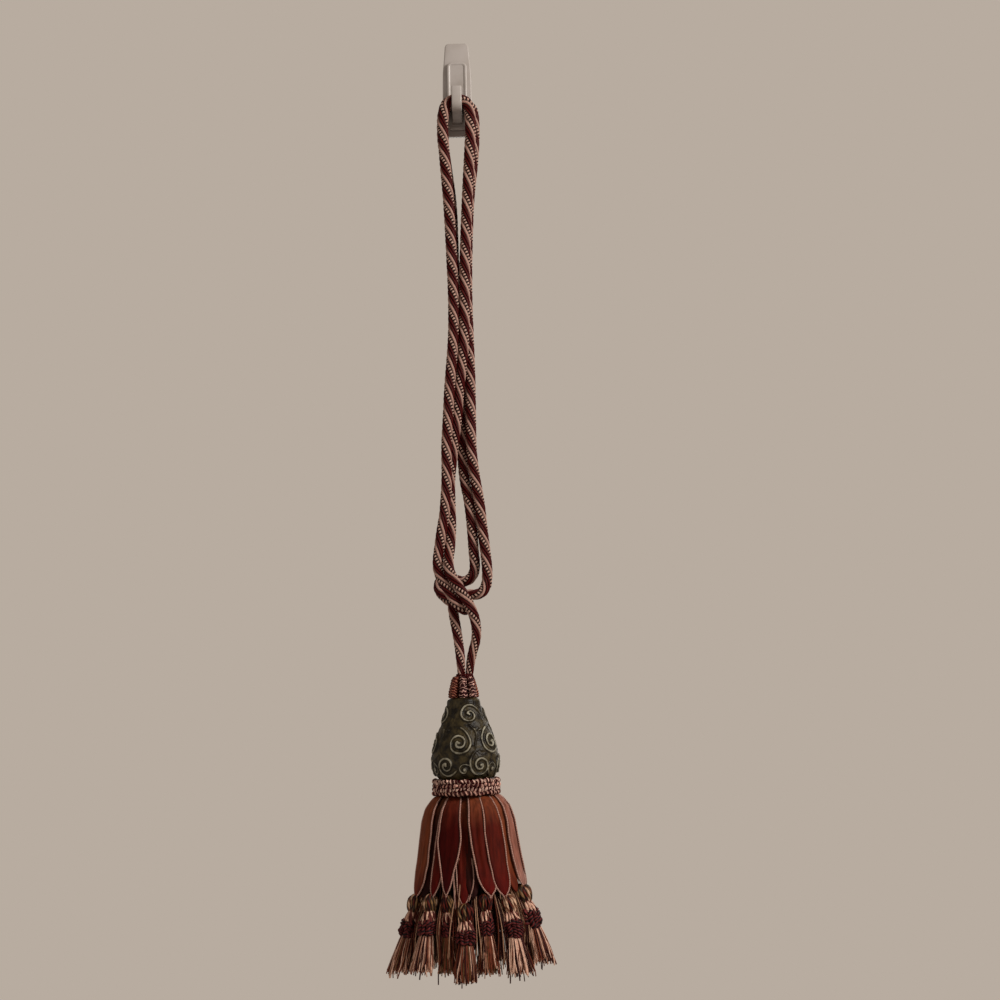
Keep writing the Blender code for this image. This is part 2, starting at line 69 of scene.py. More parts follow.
LOG = logging.getLogger("tieback")
BODY = "root"
BLACK = (0.0, 0.0, 0.0, 1.0)
WHITE = (1.0, 1.0, 1.0, 1.0)
# One turn in radians as the shaders use it, and how little a satin cord shines.
FULL_TURN = 6.2832
SATIN_SHINE = 0.14
# Distances under this many metres count as none.
CLOSE = 1e-6
# How many of the route's millimetres make a metre.
MILLIMETRES = 1000

# The rope's route in millimetres: x, distance from the wall, z. It starts at the neck's left
# strand, passes through the knot, goes over the hook, comes back for a turn round the knot,
# goes over the hook again and ends at the neck's right strand.
NECK_LEFT = (
    (-3.2, 47.4, -598.5), (-3.6, 46.4, -590.0), (-4.4, 44.0, -579.0), (-6.0, 41.2, -566.0),
    (-8.0, 39.0, -553.0), (-10.0, 37.4, -541.0), (-10.6, 36.8, -532.0), (-7.8, 36.8, -524.8),
    (-1.9, 37.0, -521.9), (4.9, 37.2, -521.8), (11.6, 37.6, -522.0), (17.8, 37.6, -519.4),
    (21.6, 37.0, -512.6), (22.7, 36.2, -503.0), (22.4, 35.4, -492.0),
)
RIGHT_OUTER_LEG = (
    (21.0, 33.4, -478.0), (18.9, 32.7, -459.0), (16.0, 32.0, -430.0), (12.6, 30.6, -409.0),
    (9.4, 27.4, -380.0), (9.1, 23.0, -345.0), (9.0, 20.0, -310.0), (8.2, 18.4, -272.0),
    (7.2, 16.4, -228.0), (7.6, 15.0, -186.0), (10.6, 14.0, -121.0), (15.2, 13.4, -79.0),
)
BACK_BIGHT = (
    (16.8, 13.4, -54.0), (16.9, 13.4, -42.0), (16.2, 13.4, -30.5), (14.6, 13.4, -24.9),
    (10.6, 13.4, -20.7), (5.4, 13.4, -19.3), (0.4, 13.4, -19.1), (-4.4, 13.4, -19.3),
    (-9.2, 13.4, -20.9), (-13.0, 13.4, -24.9), (-14.6, 13.4, -30.5), (-15.4, 13.4, -42.0),
    (-15.4, 13.4, -54.0),
)
RIGHT_INNER_LEG = (
    (-12.6, 13.6, -80.0), (-7.4, 14.2, -126.0), (-5.6, 14.8, -186.0), (-3.6, 15.4, -228.0),
    (-2.0, 15.8, -272.0), (-0.6, 14.6, -310.0), (0.2, 15.8, -345.0), (0.0, 20.4, -380.0),
    (2.2, 24.4, -409.0), (6.0, 27.4, -430.0), (8.8, 28.8, -459.0), (9.8, 29.0, -478.0),
)
WRAP = (
    (10.8, 29.0, -491.0), (10.0, 28.9, -499.4), (6.0, 28.6, -505.8), (-0.4, 27.8, -508.6),
    (-6.6, 26.6, -507.2), (-12.6, 25.6, -504.8), (-18.6, 25.2, -504.6), (-23.6, 25.4, -508.6),
    (-24.6, 25.7, -514.8), (-21.4, 26.0, -520.6), (-16.4, 26.0, -525.4), (-10.8, 26.0, -529.8),
    (-4.8, 27.4, -533.2), (-0.4, 31.0, -535.6), (1.0, 36.6, -536.6), (-0.8, 42.2, -536.0),
    (-5.2, 46.4, -532.6), (-9.8, 47.0, -526.8), (-13.4, 46.8, -520.0), (-17.4, 45.6, -513.0),
    (-21.4, 43.2, -506.0), (-24.2, 41.0, -497.4), (-24.5, 40.0, -488.0),
)
LEFT_OUTER_LEG = (
    (-22.8, 39.6, -475.0), (-20.4, 39.2, -459.0), (-17.8, 38.8, -444.0), (-16.4, 38.4, -429.5),
    (-15.1, 37.8, -409.0), (-14.8, 36.6, -376.0), (-13.0, 35.4, -347.0), (-11.2, 34.2, -318.0),
    (-8.8, 33.2, -291.0), (-6.9, 32.2, -266.0), (-6.3, 30.4, -228.0), (-7.4, 28.2, -188.0),
    (-9.8, 26.2, -128.0), (-13.0, 24.8, -82.0),
)
FRONT_BIGHT = (
    (-14.6, 24.0, -54.0), (-14.6, 23.9, -42.0), (-13.1, 23.9, -30.0), (-11.3, 23.9, -24.6),
    (-7.8, 23.9, -20.9), (-3.6, 23.9, -19.3), (0.2, 23.9, -19.1), (4.0, 23.9, -19.3),
    (8.0, 23.9, -21.0), (11.2, 23.9, -24.8), (12.6, 23.9, -30.5), (13.4, 23.9, -42.0),
    (13.3, 24.0, -54.0),
)
LEFT_INNER_LEG = (
    (11.6, 24.6, -82.0), (8.9, 25.0, -124.0), (5.8, 27.0, -186.0), (4.8, 29.2, -228.0),
    (3.8, 30.2, -264.0), (1.4, 28.6, -291.0), (-1.8, 26.8, -316.0), (-4.6, 26.2, -345.0),
    (-8.4, 26.6, -376.0), (-12.2, 27.0, -409.0), (-12.2, 28.6, -430.0), (-11.8, 31.2, -454.0),
    (-12.8, 35.8, -474.0),
)
NECK_RIGHT = (
    (-14.4, 42.4, -489.0), (-13.2, 47.0, -500.0), (-8.6, 49.8, -509.2), (-3.2, 50.9, -517.4),
    (2.0, 51.1, -526.2), (6.8, 50.0, -535.8), (10.2, 47.2, -545.6), (11.6, 44.4, -556.0),
    (10.8, 42.2, -566.0), (8.2, 41.0, -575.0), (5.8, 40.6, -585.0), (4.0, 40.9, -598.8),
)
ROUTE = (
    *NECK_LEFT,
    *RIGHT_OUTER_LEG,
    *BACK_BIGHT,
    *RIGHT_INNER_LEG,
    *WRAP,
    *LEFT_OUTER_LEG,
    *FRONT_BIGHT,
    *LEFT_INNER_LEG,
    *NECK_RIGHT,
)


def tint(shown: Shown) -> Colour:
    """The linear colour, with full alpha, of display values from 0 to 255."""
    levels = [value / 255 for value in shown]
    return (*(s / 12.92 if s < 0.04 else ((s + 0.055) / 1.055) ** 2.4 for s in levels), 1.0)


def grey(level: float) -> Colour:
    """A grey of that linear level, for shading."""
    return (level,) * 4


def smooth(low: float, high: float, value: float) -> float:
    """A soft step from 0 at low to 1 at high."""
    t = max(0.0, min(1.0, (value - low) / (high - low)))
    return t * t * (3 - 2 * t)


def shares(steps: int) -> list[float]:
    """Even shares from 0 to 1, both included."""
    return [i / steps for i in range(steps + 1)]


def table_value(rows: Rows, key: float, column: int) -> float:
    """Reads a column of a table whose first column falls from row to row.

    Args:
        rows: the table's rows.
        key: where to read it, as a value of the first column.
        column: which column to read.

    Returns:
        The value, on straight lines between rows.
    """
    for one, other in zip(rows, rows[1:]):
        if key >= other[0]:
            share = max(0.0, min(1.0, (one[0] - key) / (one[0] - other[0])))
            return one[column] + (other[column] - one[column]) * share
    return rows[-1][column]


def height_at(rows: Rows, share: float) -> float:
    """The height at a share of the way down a table."""
    return rows[0][0] + (rows[-1][0] - rows[0][0]) * share


class Graph:
    """A material's nodes, written with short calls."""

    def __init__(self, name: str, roughness: float, shine: float = 0.5) -> None:
        """Starts a Principled material.

        Args:
            name: the material's name.
            roughness: its roughness where nothing else drives it.
            shine: its specular level.
        """
        self.material = bpy.data.materials.new(name)
        self.material.use_nodes = True
        self.tree = self.material.node_tree
        self.shader = self.tree.nodes["Principled BSDF"]
        self.set("Roughness", roughness)
        self.set("Specular IOR Level", shine)

    def set(self, socket: str, value: object) -> None:
        """Sets a constant on the shader's own socket."""
        self.shader.inputs[socket].default_value = value

    def feed(self, socket: str, source: Socket) -> None:
        """Links a node's output to the shader."""
        self.tree.links.new(source, self.shader.inputs[socket])

    def node(self, kind: str, inputs: dict[object, object], **settings: object) -> bpy.types.Node:
        """Adds a node.

        Args:
            kind: the node's type name.
            inputs: a socket or a constant for each input, by name or number.
            **settings: the node's own properties.

        Returns:
            The node.
        """
        made = self.tree.nodes.new(kind)
        for key, value in settings.items():
            setattr(made, key, value)
        for key, value in inputs.items():
            if isinstance(value, Socket):
                self.tree.links.new(value, made.inputs[key])
            else:
                made.inputs[key].default_value = value
        return made

    def math(self, operation: str, *values: object) -> Socket:
        """The result of a Math node on the values."""
        return self.node("ShaderNodeMath", dict(enumerate(values)), operation=operation).outputs[0]

    def scaled(self, value: object, gain: object, shift: object) -> Socket:
        """A value times a gain, plus a shift."""
        return self.math("MULTIPLY_ADD", value, gain, shift)

    def wave(self, turns: object) -> Socket:
        """A sine wave over a value in turns."""
        return self.math("SINE", self.math("MULTIPLY", turns, FULL_TURN))

    def uv(self) -> tuple[Socket, Socket]:
        """The piece's own UV coordinates: along it and round it."""
        source = self.node("ShaderNodeTexCoord", {}).outputs["UV"]
        return tuple(self.node("ShaderNodeSeparateXYZ", {0: source}).outputs)[:2]

    def spot(self) -> Socket:
        """The piece's Object coordinates."""
        return self.node("ShaderNodeTexCoord", {}).outputs["Object"]

    def noise(self, scale: float, detail: float = 2.0, spot: Socket | None = None) -> Socket:
        """A noise value from 0 to 1 over the piece, or over a vector of its own."""
        inputs = {"Vector": spot or self.spot(), "Scale": scale, "Detail": detail}
        return self.node("ShaderNodeTexNoise", inputs).outputs[0]

    def mix(self, share: object, one: object, other: object) -> Socket:
        """A blend of two colours."""
        inputs = {0: share, 6: one, 7: other}
        return self.node("ShaderNodeMix", inputs, data_type="RGBA").outputs[2]

    def shade(self, colour: object, factor: object) -> Socket:
        """A colour multiplied by a grey factor.

        Args:
            colour: the colour, or a socket that gives it.
            factor: a socket that gives the factor.

        Returns:
            The darkened or lightened colour.
        """
        dim = self.node("ShaderNodeCombineColor", dict.fromkeys(range(3), factor)).outputs[0]
        kind = {"data_type": "RGBA", "blend_type": "MULTIPLY"}
        return self.node("ShaderNodeMix", {0: 1.0, 6: colour, 7: dim}, **kind).outputs[2]

    def ramp(self, value: object, stops: Sequence[tuple], step: bool = False) -> Socket:
        """A colour ramp.

        Args:
            value: the socket to read.
            stops: positions and colours in order.
            step: whether each colour holds until the next one.

        Returns:
            The ramp's colour.
        """
        made = self.node("ShaderNodeValToRGB", {0: value})
        scale = made.color_ramp
        scale.interpolation = "CONSTANT" if step else "LINEAR"
        while len(scale.elements) < len(stops):
            scale.elements.new(0.5)
        for element, (position, colour) in zip(scale.elements, stops):
            element.position = position
            element.color = colour
        return made.outputs[0]

    def gate(self, value: object, low: float, high: float, top: Colour = WHITE) -> Socket:
        """A ramp from black at low to white, or to another grey, at high."""
        return self.ramp(value, ((low, BLACK), (high, top)))

    def bump(self, height: object, depth: float, strength: float = 1.0) -> None:
        """Gives the shader a bump of that depth in metres."""
        inputs = {"Height": height, "Distance": depth, "Strength": strength}
        self.feed("Normal", self.node("ShaderNodeBump", inputs).outputs[0])


class Finish(Protocol):
    """What every finish has: a name, and a way to make its material."""

    name: str

    def make(self) -> Material:
        """The material."""


@dataclass(frozen=True)
class Plastic:
    """Moulded plastic with a soft gloss and a little grime."""

    name: str
    colour: Shown
    grime: Shown
    roughness: float = 0.34

    def make(self) -> Material:
        """Mixes grime into the plastic in soft clouds.

        Returns:
            The material.
        """
        graph = Graph(self.name, self.roughness)
        stain = graph.gate(graph.noise(38.0, 6.0), 0.42, 0.78)
        graph.feed("Base Color", graph.mix(stain, tint(self.colour), tint(self.grime)))
        graph.feed("Roughness", graph.scaled(graph.noise(260.0), 0.22, self.roughness - 0.08))
        graph.bump(graph.noise(900.0, 3.0), 0.00005, 0.5)
        graph.set("Coat Weight", 0.12)
        graph.set("Coat Roughness", 0.35)
        return graph.material


@dataclass(frozen=True)
class RopeSatin:
    """The rope's plies: a pink one, two maroon and one wound with pale stripes, twice round."""

    name: str
    pink: Shown = (190, 148, 134)
    maroon: Shown = (78, 7, 5)
    stripe: Shown = (214, 174, 156)
    night: Shown = (42, 5, 7)
    plies: tuple[float, ...] = (0.28, 0.21, 0.21, 0.30)
    dashes: float = 20.0
    lean: float = -5.6
    yarns: int = 22

    def shadows(self) -> list[tuple[float, Colour]]:
        """Painted shade across the plies: full colour on their crests, darker on their flanks,
        dark in the valleys between them.

        Returns:
            The stops of a ramp over one half of the rope's girth.
        """
        valley, flank, crest = grey(0.05), grey(0.78), grey(1.0)
        stops, start = [(0.0, valley)], 0.0
        for width in self.plies:
            lit = ((0.20, flank), (0.5, crest), (0.80, flank))
            stops += [(start + share * width, level) for share, level in lit]
            start += width
            stops.append((min(start, 1.0), valley))
        return stops

    def make(self) -> Material:
        """Dresses the rope's own UV map: turns along it and once round it.

        Returns:
            The material.
        """
        graph = Graph(self.name, 0.52, SATIN_SHINE)
        along, around = graph.uv()
        turn = graph.math("FRACT", graph.math("MULTIPLY", around, 2.0))
        run = graph.math("MULTIPLY", along, self.dashes)
        winding = graph.math("ADD", run, graph.math("MULTIPLY", around, self.lean))
        night, stripe = tint(self.night), tint(self.stripe)
        stops = ((0.0, night), (0.10, stripe), (0.44, stripe), (0.56, night))
        dash = graph.ramp(graph.math("FRACT", winding), stops)
        plain = ((0.0, tint(self.pink)), (self.plies[0], tint(self.maroon)))
        base = graph.ramp(turn, plain, step=True)
        colour = graph.mix(graph.math("GREATER_THAN", turn, 1 - self.plies[3]), base, dash)
        yarn = graph.math("SINE", graph.math("MULTIPLY", turn, FULL_TURN * self.yarns))
        fine = graph.scaled(yarn, 0.14, graph.scaled(graph.noise(500.0), 0.5, 0.68))
        # Painted shade: the plies darken from their crests to the valleys between them.
        shaded = graph.shade(colour, graph.ramp(turn, self.shadows()))
        graph.feed("Base Color", graph.shade(shaded, fine))
        graph.bump(yarn, 0.00014, 0.6)
        return graph.material


@dataclass(frozen=True)
class CordSatin:
    """A small cord of two colours, laid or striped across."""

    name: str
    light: Shown
    dark: Shown
    turns: float
    plies: float = 1.0
    share: float = 0.5
    patchy: float = 1.1
    wobble: float = 0.0

    def make(self) -> Material:
        """Winds the two colours over the cord's UV map.

        Returns:
            The material.
        """
        graph = Graph(self.name, 0.55, SATIN_SHINE)
        along, around = graph.uv()
        wound = graph.math("MULTIPLY", around, self.plies)
        lay = graph.math("ADD", graph.math("MULTIPLY", along, self.turns), wound)
        lay = graph.math("FRACT", graph.scaled(graph.noise(260.0), self.wobble, lay))
        light, dark = tint(self.light), tint(self.dark)
        fade, share = min(0.06, self.share / 3), self.share
        stops = ((0.0, dark), (fade, light), (share - fade, light), (share, dark))
        colour = graph.ramp(lay, stops)
        cloud = graph.scaled(graph.noise(420.0), self.patchy, 0.97 - self.patchy / 2)
        graph.feed("Base Color", graph.shade(colour, cloud))
        graph.bump(graph.wave(lay), 0.00018, 0.7)
        return graph.material


@dataclass(frozen=True)
class Thread:
    """Plain satin yarn, a little darker and lighter from thread to thread."""

    name: str
    colour: Shown
    twist: float = 60.0

    def make(self) -> Material:
        """Twists the yarn along its UV map.

        Returns:
            The material.
        """
        graph = Graph(self.name, 0.5, SATIN_SHINE)
        along, around = graph.uv()
        lay = graph.wave(graph.math("ADD", graph.math("MULTIPLY", along, self.twist), around))
        cloud = graph.scaled(graph.noise(300.0), 1.2, 0.38)
        graph.feed("Base Color", graph.shade(tint(self.colour), graph.scaled(lay, 0.07, cloud)))
        graph.bump(lay, 0.00004, 0.5)
        return graph.material


@dataclass(frozen=True)
class PetalCloth:
    """Soft cloth with a pile: brown where it is gathered, red in the middle, deep at its tip."""

    name: str
    middle: Shown
    head: Shown
    foot: Shown
    bloom: Shown
    sheen: float = 0.03

    def make(self) -> Material:
        """Dresses the petal's UV map: down it, and round it from its right edge.

        Returns:
            The material.
        """
        graph = Graph(self.name, 0.62, 0.07)
        along, around = graph.uv()
        wander = graph.scaled(graph.noise(60.0, 3.0), 0.3, graph.math("SUBTRACT", along, 0.15))
        head, middle, foot = tint(self.head), tint(self.middle), tint(self.foot)
        stops = ((0.06, head), (0.34, middle), (0.68, middle), (0.95, foot))
        side = graph.math("COSINE", graph.math("MULTIPLY", around, FULL_TURN))
        # Painted shade: the cloth darkens towards its two side edges, beside the cords.
        edge = ((0.70, grey(1.0)), (0.98, grey(0.55)))
        rim = graph.ramp(graph.math("ABSOLUTE", side), edge)
        stretched = graph.node("ShaderNodeMapping", {0: graph.spot(), 3: (1.0, 1.0, 0.12)})
        streak = graph.scaled(graph.noise(300.0, 5.0, stretched.outputs[0]), 1.7, 0.12)
        threads = {"Vector": graph.spot(), "Scale": 1300.0}
        weave = graph.node("ShaderNodeTexWave", threads, bands_direction="Z").outputs[1]
        shaded = graph.shade(graph.ramp(wander, stops), rim)
        graph.feed("Base Color", graph.shade(shaded, streak))
        graph.bump(graph.scaled(weave, 0.3, streak), 0.0003, 0.4)
        graph.set("Sheen Weight", self.sheen)
        graph.set("Sheen Roughness", 0.3)
        graph.set("Sheen Tint", tint(self.bloom))
        return graph.material


@dataclass(frozen=True)
class BronzedResin:
    """Olive-black cast resin with worn bronze on its raised work."""

    name: str
    ground: Shown = (72, 61, 36)
    # The second colour is both the ground's dark mottle and the painted shade at the foot of the
    # ridges; shadow sets how strong that painted shade is.
    mottle_and_groove_shade: Shown = (20, 13, 4)
    bronze: Shown = (186, 180, 160)
    shadow: Shown = (210, 210, 210)
    wear: Shown = (235, 235, 235)

    def make(self) -> Material:
        """Rubs bronze over the mesh's own relief attribute, in patches, and paints shade at the
        foot of the ridges.

        Returns:
            The material.
        """
        graph = Graph(self.name, 0.42, 0.2)
        relief = graph.node("ShaderNodeAttribute", {}, attribute_name="relief").outputs["Fac"]
        spot = graph.spot()
        cloud = graph.noise(160.0, 6.0, spot)
        mottle_and_groove_shade, shadow = tint(self.mottle_and_groove_shade), tint(self.shadow)
        ground = graph.mix(graph.gate(cloud, 0.38, 0.66), mottle_and_groove_shade, tint(self.ground))
        # Painted shade: where the relief is low, at the foot of each ridge, the ground darkens to
        # the dark mottle colour.
        stops = ((0.0, BLACK), (0.10, shadow), (0.45, shadow), (0.8, BLACK))
        ground = graph.mix(graph.ramp(relief, stops), ground, mottle_and_groove_shade)
        patch = graph.scaled(graph.noise(105.0, 3.0, spot), 0.9, -0.50)
        rubbed = graph.math("ADD", relief, patch)
        worn = graph.scaled(graph.noise(520.0, 5.0, spot), 0.4, rubbed)
        gilt = graph.gate(graph.math("SUBTRACT", worn, 0.3), 0.46, 0.94, tint(self.wear))
        graph.feed("Base Color", graph.mix(gilt, ground, tint(self.bronze)))
        graph.feed("Metallic", graph.math("MULTIPLY", gilt, 0.2))
        graph.feed("Roughness", graph.scaled(cloud, 0.3, 0.30))
        dents = graph.math("MULTIPLY", graph.noise(190.0, 3.0, spot), 2.0)
        graph.bump(graph.math("ADD", graph.noise(700.0, 4.0, spot), dents), 0.0004, 0.7)
        return graph.material


@dataclass(frozen=True)
class FloorPaint:
    """The plain pale floor."""

    name: str = "pale_floor"
    colour: Shown = (226, 222, 216)

    def make(self) -> Material:
        """Paints it in one colour.

        Returns:
            The material.
        """
        graph = Graph(self.name, 0.8)
        graph.set("Base Color", tint(self.colour))
        return graph.material


class Kit:
    """The shared finishes, each made once."""

    def __init__(self) -> None:
        """Starts with none made."""
        self.made: dict[str, Material] = {}

    def get(self, *finishes: Finish) -> list[Material]:
        """Makes the finishes that aren't made yet.

        Args:
            *finishes: the finishes wanted, in slot order.

        Returns:
            Their materials.
        """
        for finish in finishes:
            if finish.name not in self.made:
                self.made[finish.name] = finish.make()
        return [self.made[finish.name] for finish in finishes]


def new_piece(name: str, mesh: Mesh, materials: Iterable[Material]) -> Piece:
    """Makes an object of the mesh, at the origin.

    Args:
        name: the piece's name.
        mesh: its mesh, already in place.
        materials: what it wears, in slot order.

    Returns:
        The object, linked to the scene.
    """
    mesh.name = name
    if not mesh.materials:
        for material in materials:
            mesh.materials.append(material)
    mesh.shade_smooth()
    piece = bpy.data.objects.new(name, mesh)
    bpy.context.scene.collection.objects.link(piece)
    return piece


def wear(piece: Piece, slot: str, *nodes: str) -> Piece:
    """Lets a piece ride on the body and stand for its solids.

    Args:
        piece: the finished piece.
        slot: the record's material slot; not used.
        *nodes: the solids that it replaces.

    Returns:
        The piece.
    """
    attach(piece, BODY)
    if nodes:
        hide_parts(*nodes)
    solids = ", ".join(nodes) or "no solid"
    LOG.info("%s: %d faces, for %s", piece.name, len(piece.data.polygons), solids)
    return piece


def turn_outwards(bm: BMesh) -> None:
    """Turns a closed shape's faces outwards."""
    if bm.calc_volume(signed=True) < 0:
        bmesh.ops.reverse_faces(bm, faces=bm.faces)


def paint(bm: BMesh, index: int) -> BMesh:
    """Puts all of a shape's faces in one material slot.

    Args:
        bm: the shape.
        index: the slot's number.

    Returns:
        The same bmesh.
    """
    for face in bm.faces:
        face.material_index = index
    return bm


def remap(bm: BMesh, change: Callable[[float, float], Span]) -> None:
    """Changes every UV of a shape.

    Args:
        bm: the shape.
        change: gives the new pair from the old one.
    """
    layer = bm.loops.layers.uv.active
    for face in bm.faces:
        for loop in face.loops:
            loop[layer].uv = change(*loop[layer].uv)


def ease(bm: BMesh, edges: Iterable[bmesh.types.BMEdge], radius: float, segments: int) -> None:
    """Rounds edges off by a radius in metres, with so many faces round it."""
    settings = {"affect": "EDGES", "segments": segments, "profile": 0.5, "material": -1}
    bmesh.ops.bevel(bm, geom=list(edges), offset=radius, **settings)


def extruded(rim: Iterable[tuple[float, float, float]], way: Vector) -> BMesh:
    """A flat outline drawn out to a solid.

    Args:
        rim: the outline's points, in order.
        way: how far and where it is drawn.

    Returns:
        The closed bmesh.
    """
    bm = bmesh.new()
    side = bm.faces.new([bm.verts.new(point) for point in rim])
    grown = bmesh.ops.extrude_face_region(bm, geom=[side], use_keep_orig=True)["geom"]
    moved = [part for part in grown if isinstance(part, bmesh.types.BMVert)]
    bmesh.ops.translate(bm, verts=moved, vec=way)
    bmesh.ops.recalc_face_normals(bm, faces=bm.faces)
    return bm


def wrapped_grid(
    columns: int,
    rows: int,
    place: Place,
    uv_size: Span = (1.0, 1.0),
    ring: bool = False,
) -> BMesh:
    """A grid rolled into a closed form: a capped tube, or a ring.

    Args:
        columns: how many faces lie along it.
        rows: how many faces lie round it.
        place: gives a point from shares along it and round it, both 0 to 1.
        uv_size: what the UV map's length and girth are multiplied by.
        ring: whether its two ends meet.

    Returns:
        The closed bmesh.
    """
    bm = bmesh.new()
    bm.loops.layers.uv.new("UVMap")
    bmesh.ops.create_grid(bm, x_segments=columns, y_segments=rows, size=1.0, calc_uvs=True)
    remap(bm, lambda u, v: (u * uv_size[0], v * uv_size[1]))
    for vert in bm.verts:
        along = round((vert.co.x + 1) / 2 * columns) / columns
        around = round((vert.co.y + 1) / 2 * rows) / rows
        vert.co = place(along % 1.0 if ring else along, around % 1.0)
    bmesh.ops.remove_doubles(bm, verts=bm.verts, dist=CLOSE)
    if not ring:
        open_edges = [edge for edge in bm.edges if edge.is_boundary]
        bmesh.ops.holes_fill(bm, edges=open_edges, sides=0)
    turn_outwards(bm)
    return bm


def mesh_from(bm: BMesh, name: str) -> Mesh:
    """Writes a bmesh to a new mesh and frees it.

    Args:
        bm: the shape.
        name: the mesh's name.

    Returns:
        The mesh.
    """
    mesh = bpy.data.meshes.new(name)
    bm.to_mesh(mesh)
    bm.free()
    return mesh


def worked_out(source: Piece) -> Mesh:
    """Works out an object's modifiers or curve, and removes the object.

    Args:
        source: the object, linked to the scene.

    Returns:
        The finished mesh.
    """
    graph = bpy.context.evaluated_depsgraph_get()
    mesh = bpy.data.meshes.new_from_object(source.evaluated_get(graph))
    bpy.data.objects.remove(source, do_unlink=True)
    return mesh


def distances(line: Sequence[Vector]) -> list[float]:
    """How far along a line each of its points lies.

    Args:
        line: the points.

    Returns:
        The distances, from 0 to the line's length.
    """
    runs = [0.0]
    for one, other in zip(line, line[1:]):
        runs.append(runs[-1] + (other - one).length)
    return runs


def smooth_line(points: Sequence[Vector], spacing: float, fineness: int = 16) -> list[Vector]:
    """Evenly spaced points on a centripetal Catmull-Rom curve.

    Args:
        points: what the curve passes through.
        spacing: how far apart the new points are, about.
        fineness: how many steps the curve is measured by between two points.

    Returns:
        The new points, both ends kept.
    """
    ends = [2 * points[0] - points[1], *points, 2 * points[-1] - points[-2]]
    fine: list[Vector] = []
    for a, b, c, d in zip(ends, ends[1:], ends[2:], ends[3:]):
        times = [0.0]
        for one, other in ((a, b), (b, c), (c, d)):
            times.append(times[-1] + max((other - one).length, 1e-9) ** 0.5)
        for i in range(fineness):
            t = times[1] + (times[2] - times[1]) * i / fineness
            one = a.lerp(b, t / times[1])
            two = b.lerp(c, (t - times[1]) / (times[2] - times[1]))
            three = c.lerp(d, (t - times[2]) / (times[3] - times[2]))
            left = one.lerp(two, t / times[2])
            right = two.lerp(three, (t - times[1]) / (times[3] - times[1]))
            fine.append(left.lerp(right, (t - times[1]) / (times[2] - times[1])))
    fine.append(points[-1])
    runs = distances(fine)
    count = max(2, round(runs[-1] / spacing))
    even, j = [], 0
    for i in range(count + 1):
        want = runs[-1] * i / count
        while j < len(runs) - 2 and runs[j + 1] < want:
            j += 1
        share = (want - runs[j]) / max(runs[j + 1] - runs[j], 1e-9)
        even.append(fine[j].lerp(fine[j + 1], share))
    return even


class Hand(Enum):
    """Which way a cord is laid."""

    S_LAID = -1
    Z_LAID = 1


@dataclass(frozen=True)
class Lay:
    """How plies are laid into a cord."""

    pitch: float
    depth: float
    hand: Hand
    around: int = 6
    plies: tuple[float, ...] = (0.5, 0.5)
    roundness: float = 0.98

    def across(self, around: float) -> float:
        """Where a point round the cord lies on its ply.

        Args:
            around: the share of the girth, 0 to 1.

        Returns:
            From -1 at one side of the ply to 1 at the other.
        """
        start = 0.0
        for width in self.plies:
            if around < start + width - CLOSE:
                return 2 * (around - start) / width - 1
            start += width
        return -1.0

    def at_row(self, share: float) -> float:
        """Spreads the rows so that each ply has as many, and its valleys are sharp.

        Args:
            share: the row's share of all rows.

        Returns:
            The share of the girth where it lies.
        """
        count = len(self.plies)
        ply = min(count - 1, int(share * count + CLOSE))
        return sum(self.plies[:ply]) + self.plies[ply] * (share * count - ply)


def frames_along(line: Sequence[Vector], ring: bool) -> list[tuple[Vector, Vector, Vector]]:
    """Frames that follow a line without turning about it.

    Args:
        line: evenly spaced points.
        ring: whether the last one is followed by the first.

    Returns:
        At each point, the way along the line and two ways across it.
    """
    count = len(line)
    tangents = []
    for i in range(count):
        before = line[i - 1] if ring or i else line[0]
        after = line[(i + 1) % count] if ring or i < count - 1 else line[-1]
        tangents.append((after - before).normalized())
    normal = tangents[0].orthogonal().normalized()
    frames = []
    for i, tangent in enumerate(tangents):
        if i:
            normal = tangents[i - 1].rotation_difference(tangent) @ normal
        normal = (normal - tangent * normal.dot(tangent)).normalized()
        frames.append((tangent, normal.copy(), tangent.cross(normal)))
    return frames


def laid_cord(
    line: Sequence[Vector], radius: Callable[[Vector], float], lay: Lay, ring: bool = False
) -> BMesh:
    """A cord whose plies wind round a line.

    Args:
        line: evenly spaced points, without the first one again where it is a ring.
        radius: the cord's radius at a point of the line.
        lay: how its plies are laid, with the faces round each ply.
        ring: whether the cord closes on itself.

    Returns:
        The closed bmesh. Its UV map runs in turns along the cord, and once round it.
    """
    count = len(line)
    steps = count if ring else count - 1
    frames = frames_along(line, ring)
    length = distances(line)[-1] + ((line[0] - line[-1]).length if ring else 0.0)
    turns = length / lay.pitch
    if ring:
        repeats = len(lay.plies) // 2
        (first, normal, beside), (last, end, _) = frames[0], frames[-1]
        slip = last.rotation_difference(first) @ end
        twist = atan2(slip.dot(beside), slip.dot(normal))
        turns = round(turns * repeats) / repeats + twist / tau * lay.hand.value

    def place(along: float, around: float) -> Vector:
        """A point of the cord.

        Args:
            along: the share of its length.
            around: the share of its rows.

        Returns:
            The point.
        """
        i = round(along * steps) % count if ring else round(along * steps)
        around = lay.at_row(around)
        turn = tau * (around + lay.hand.value * turns * i / steps)
        across = lay.across(around)
        hollow = 1 - sqrt(max(0.0, 1 - lay.roundness * across * across))
        reach = radius(line[i]) * (1 - lay.depth * hollow)
        _, normal, beside = frames[i]
        return line[i] + normal * cos(turn) * reach + beside * sin(turn) * reach

    bm = wrapped_grid(steps, len(lay.plies) * lay.around, place, (turns, 1.0), ring)
    remap(bm, lambda u, v: (u, 1.0 if v > 0.9999 else lay.at_row(v)))
    return bm


@dataclass(frozen=True)
class Run:
    """One length of yarn in a bundle."""

    points: Sequence[Vector]
    radius: float
    finish: int = 0
    taper: float = 1.0


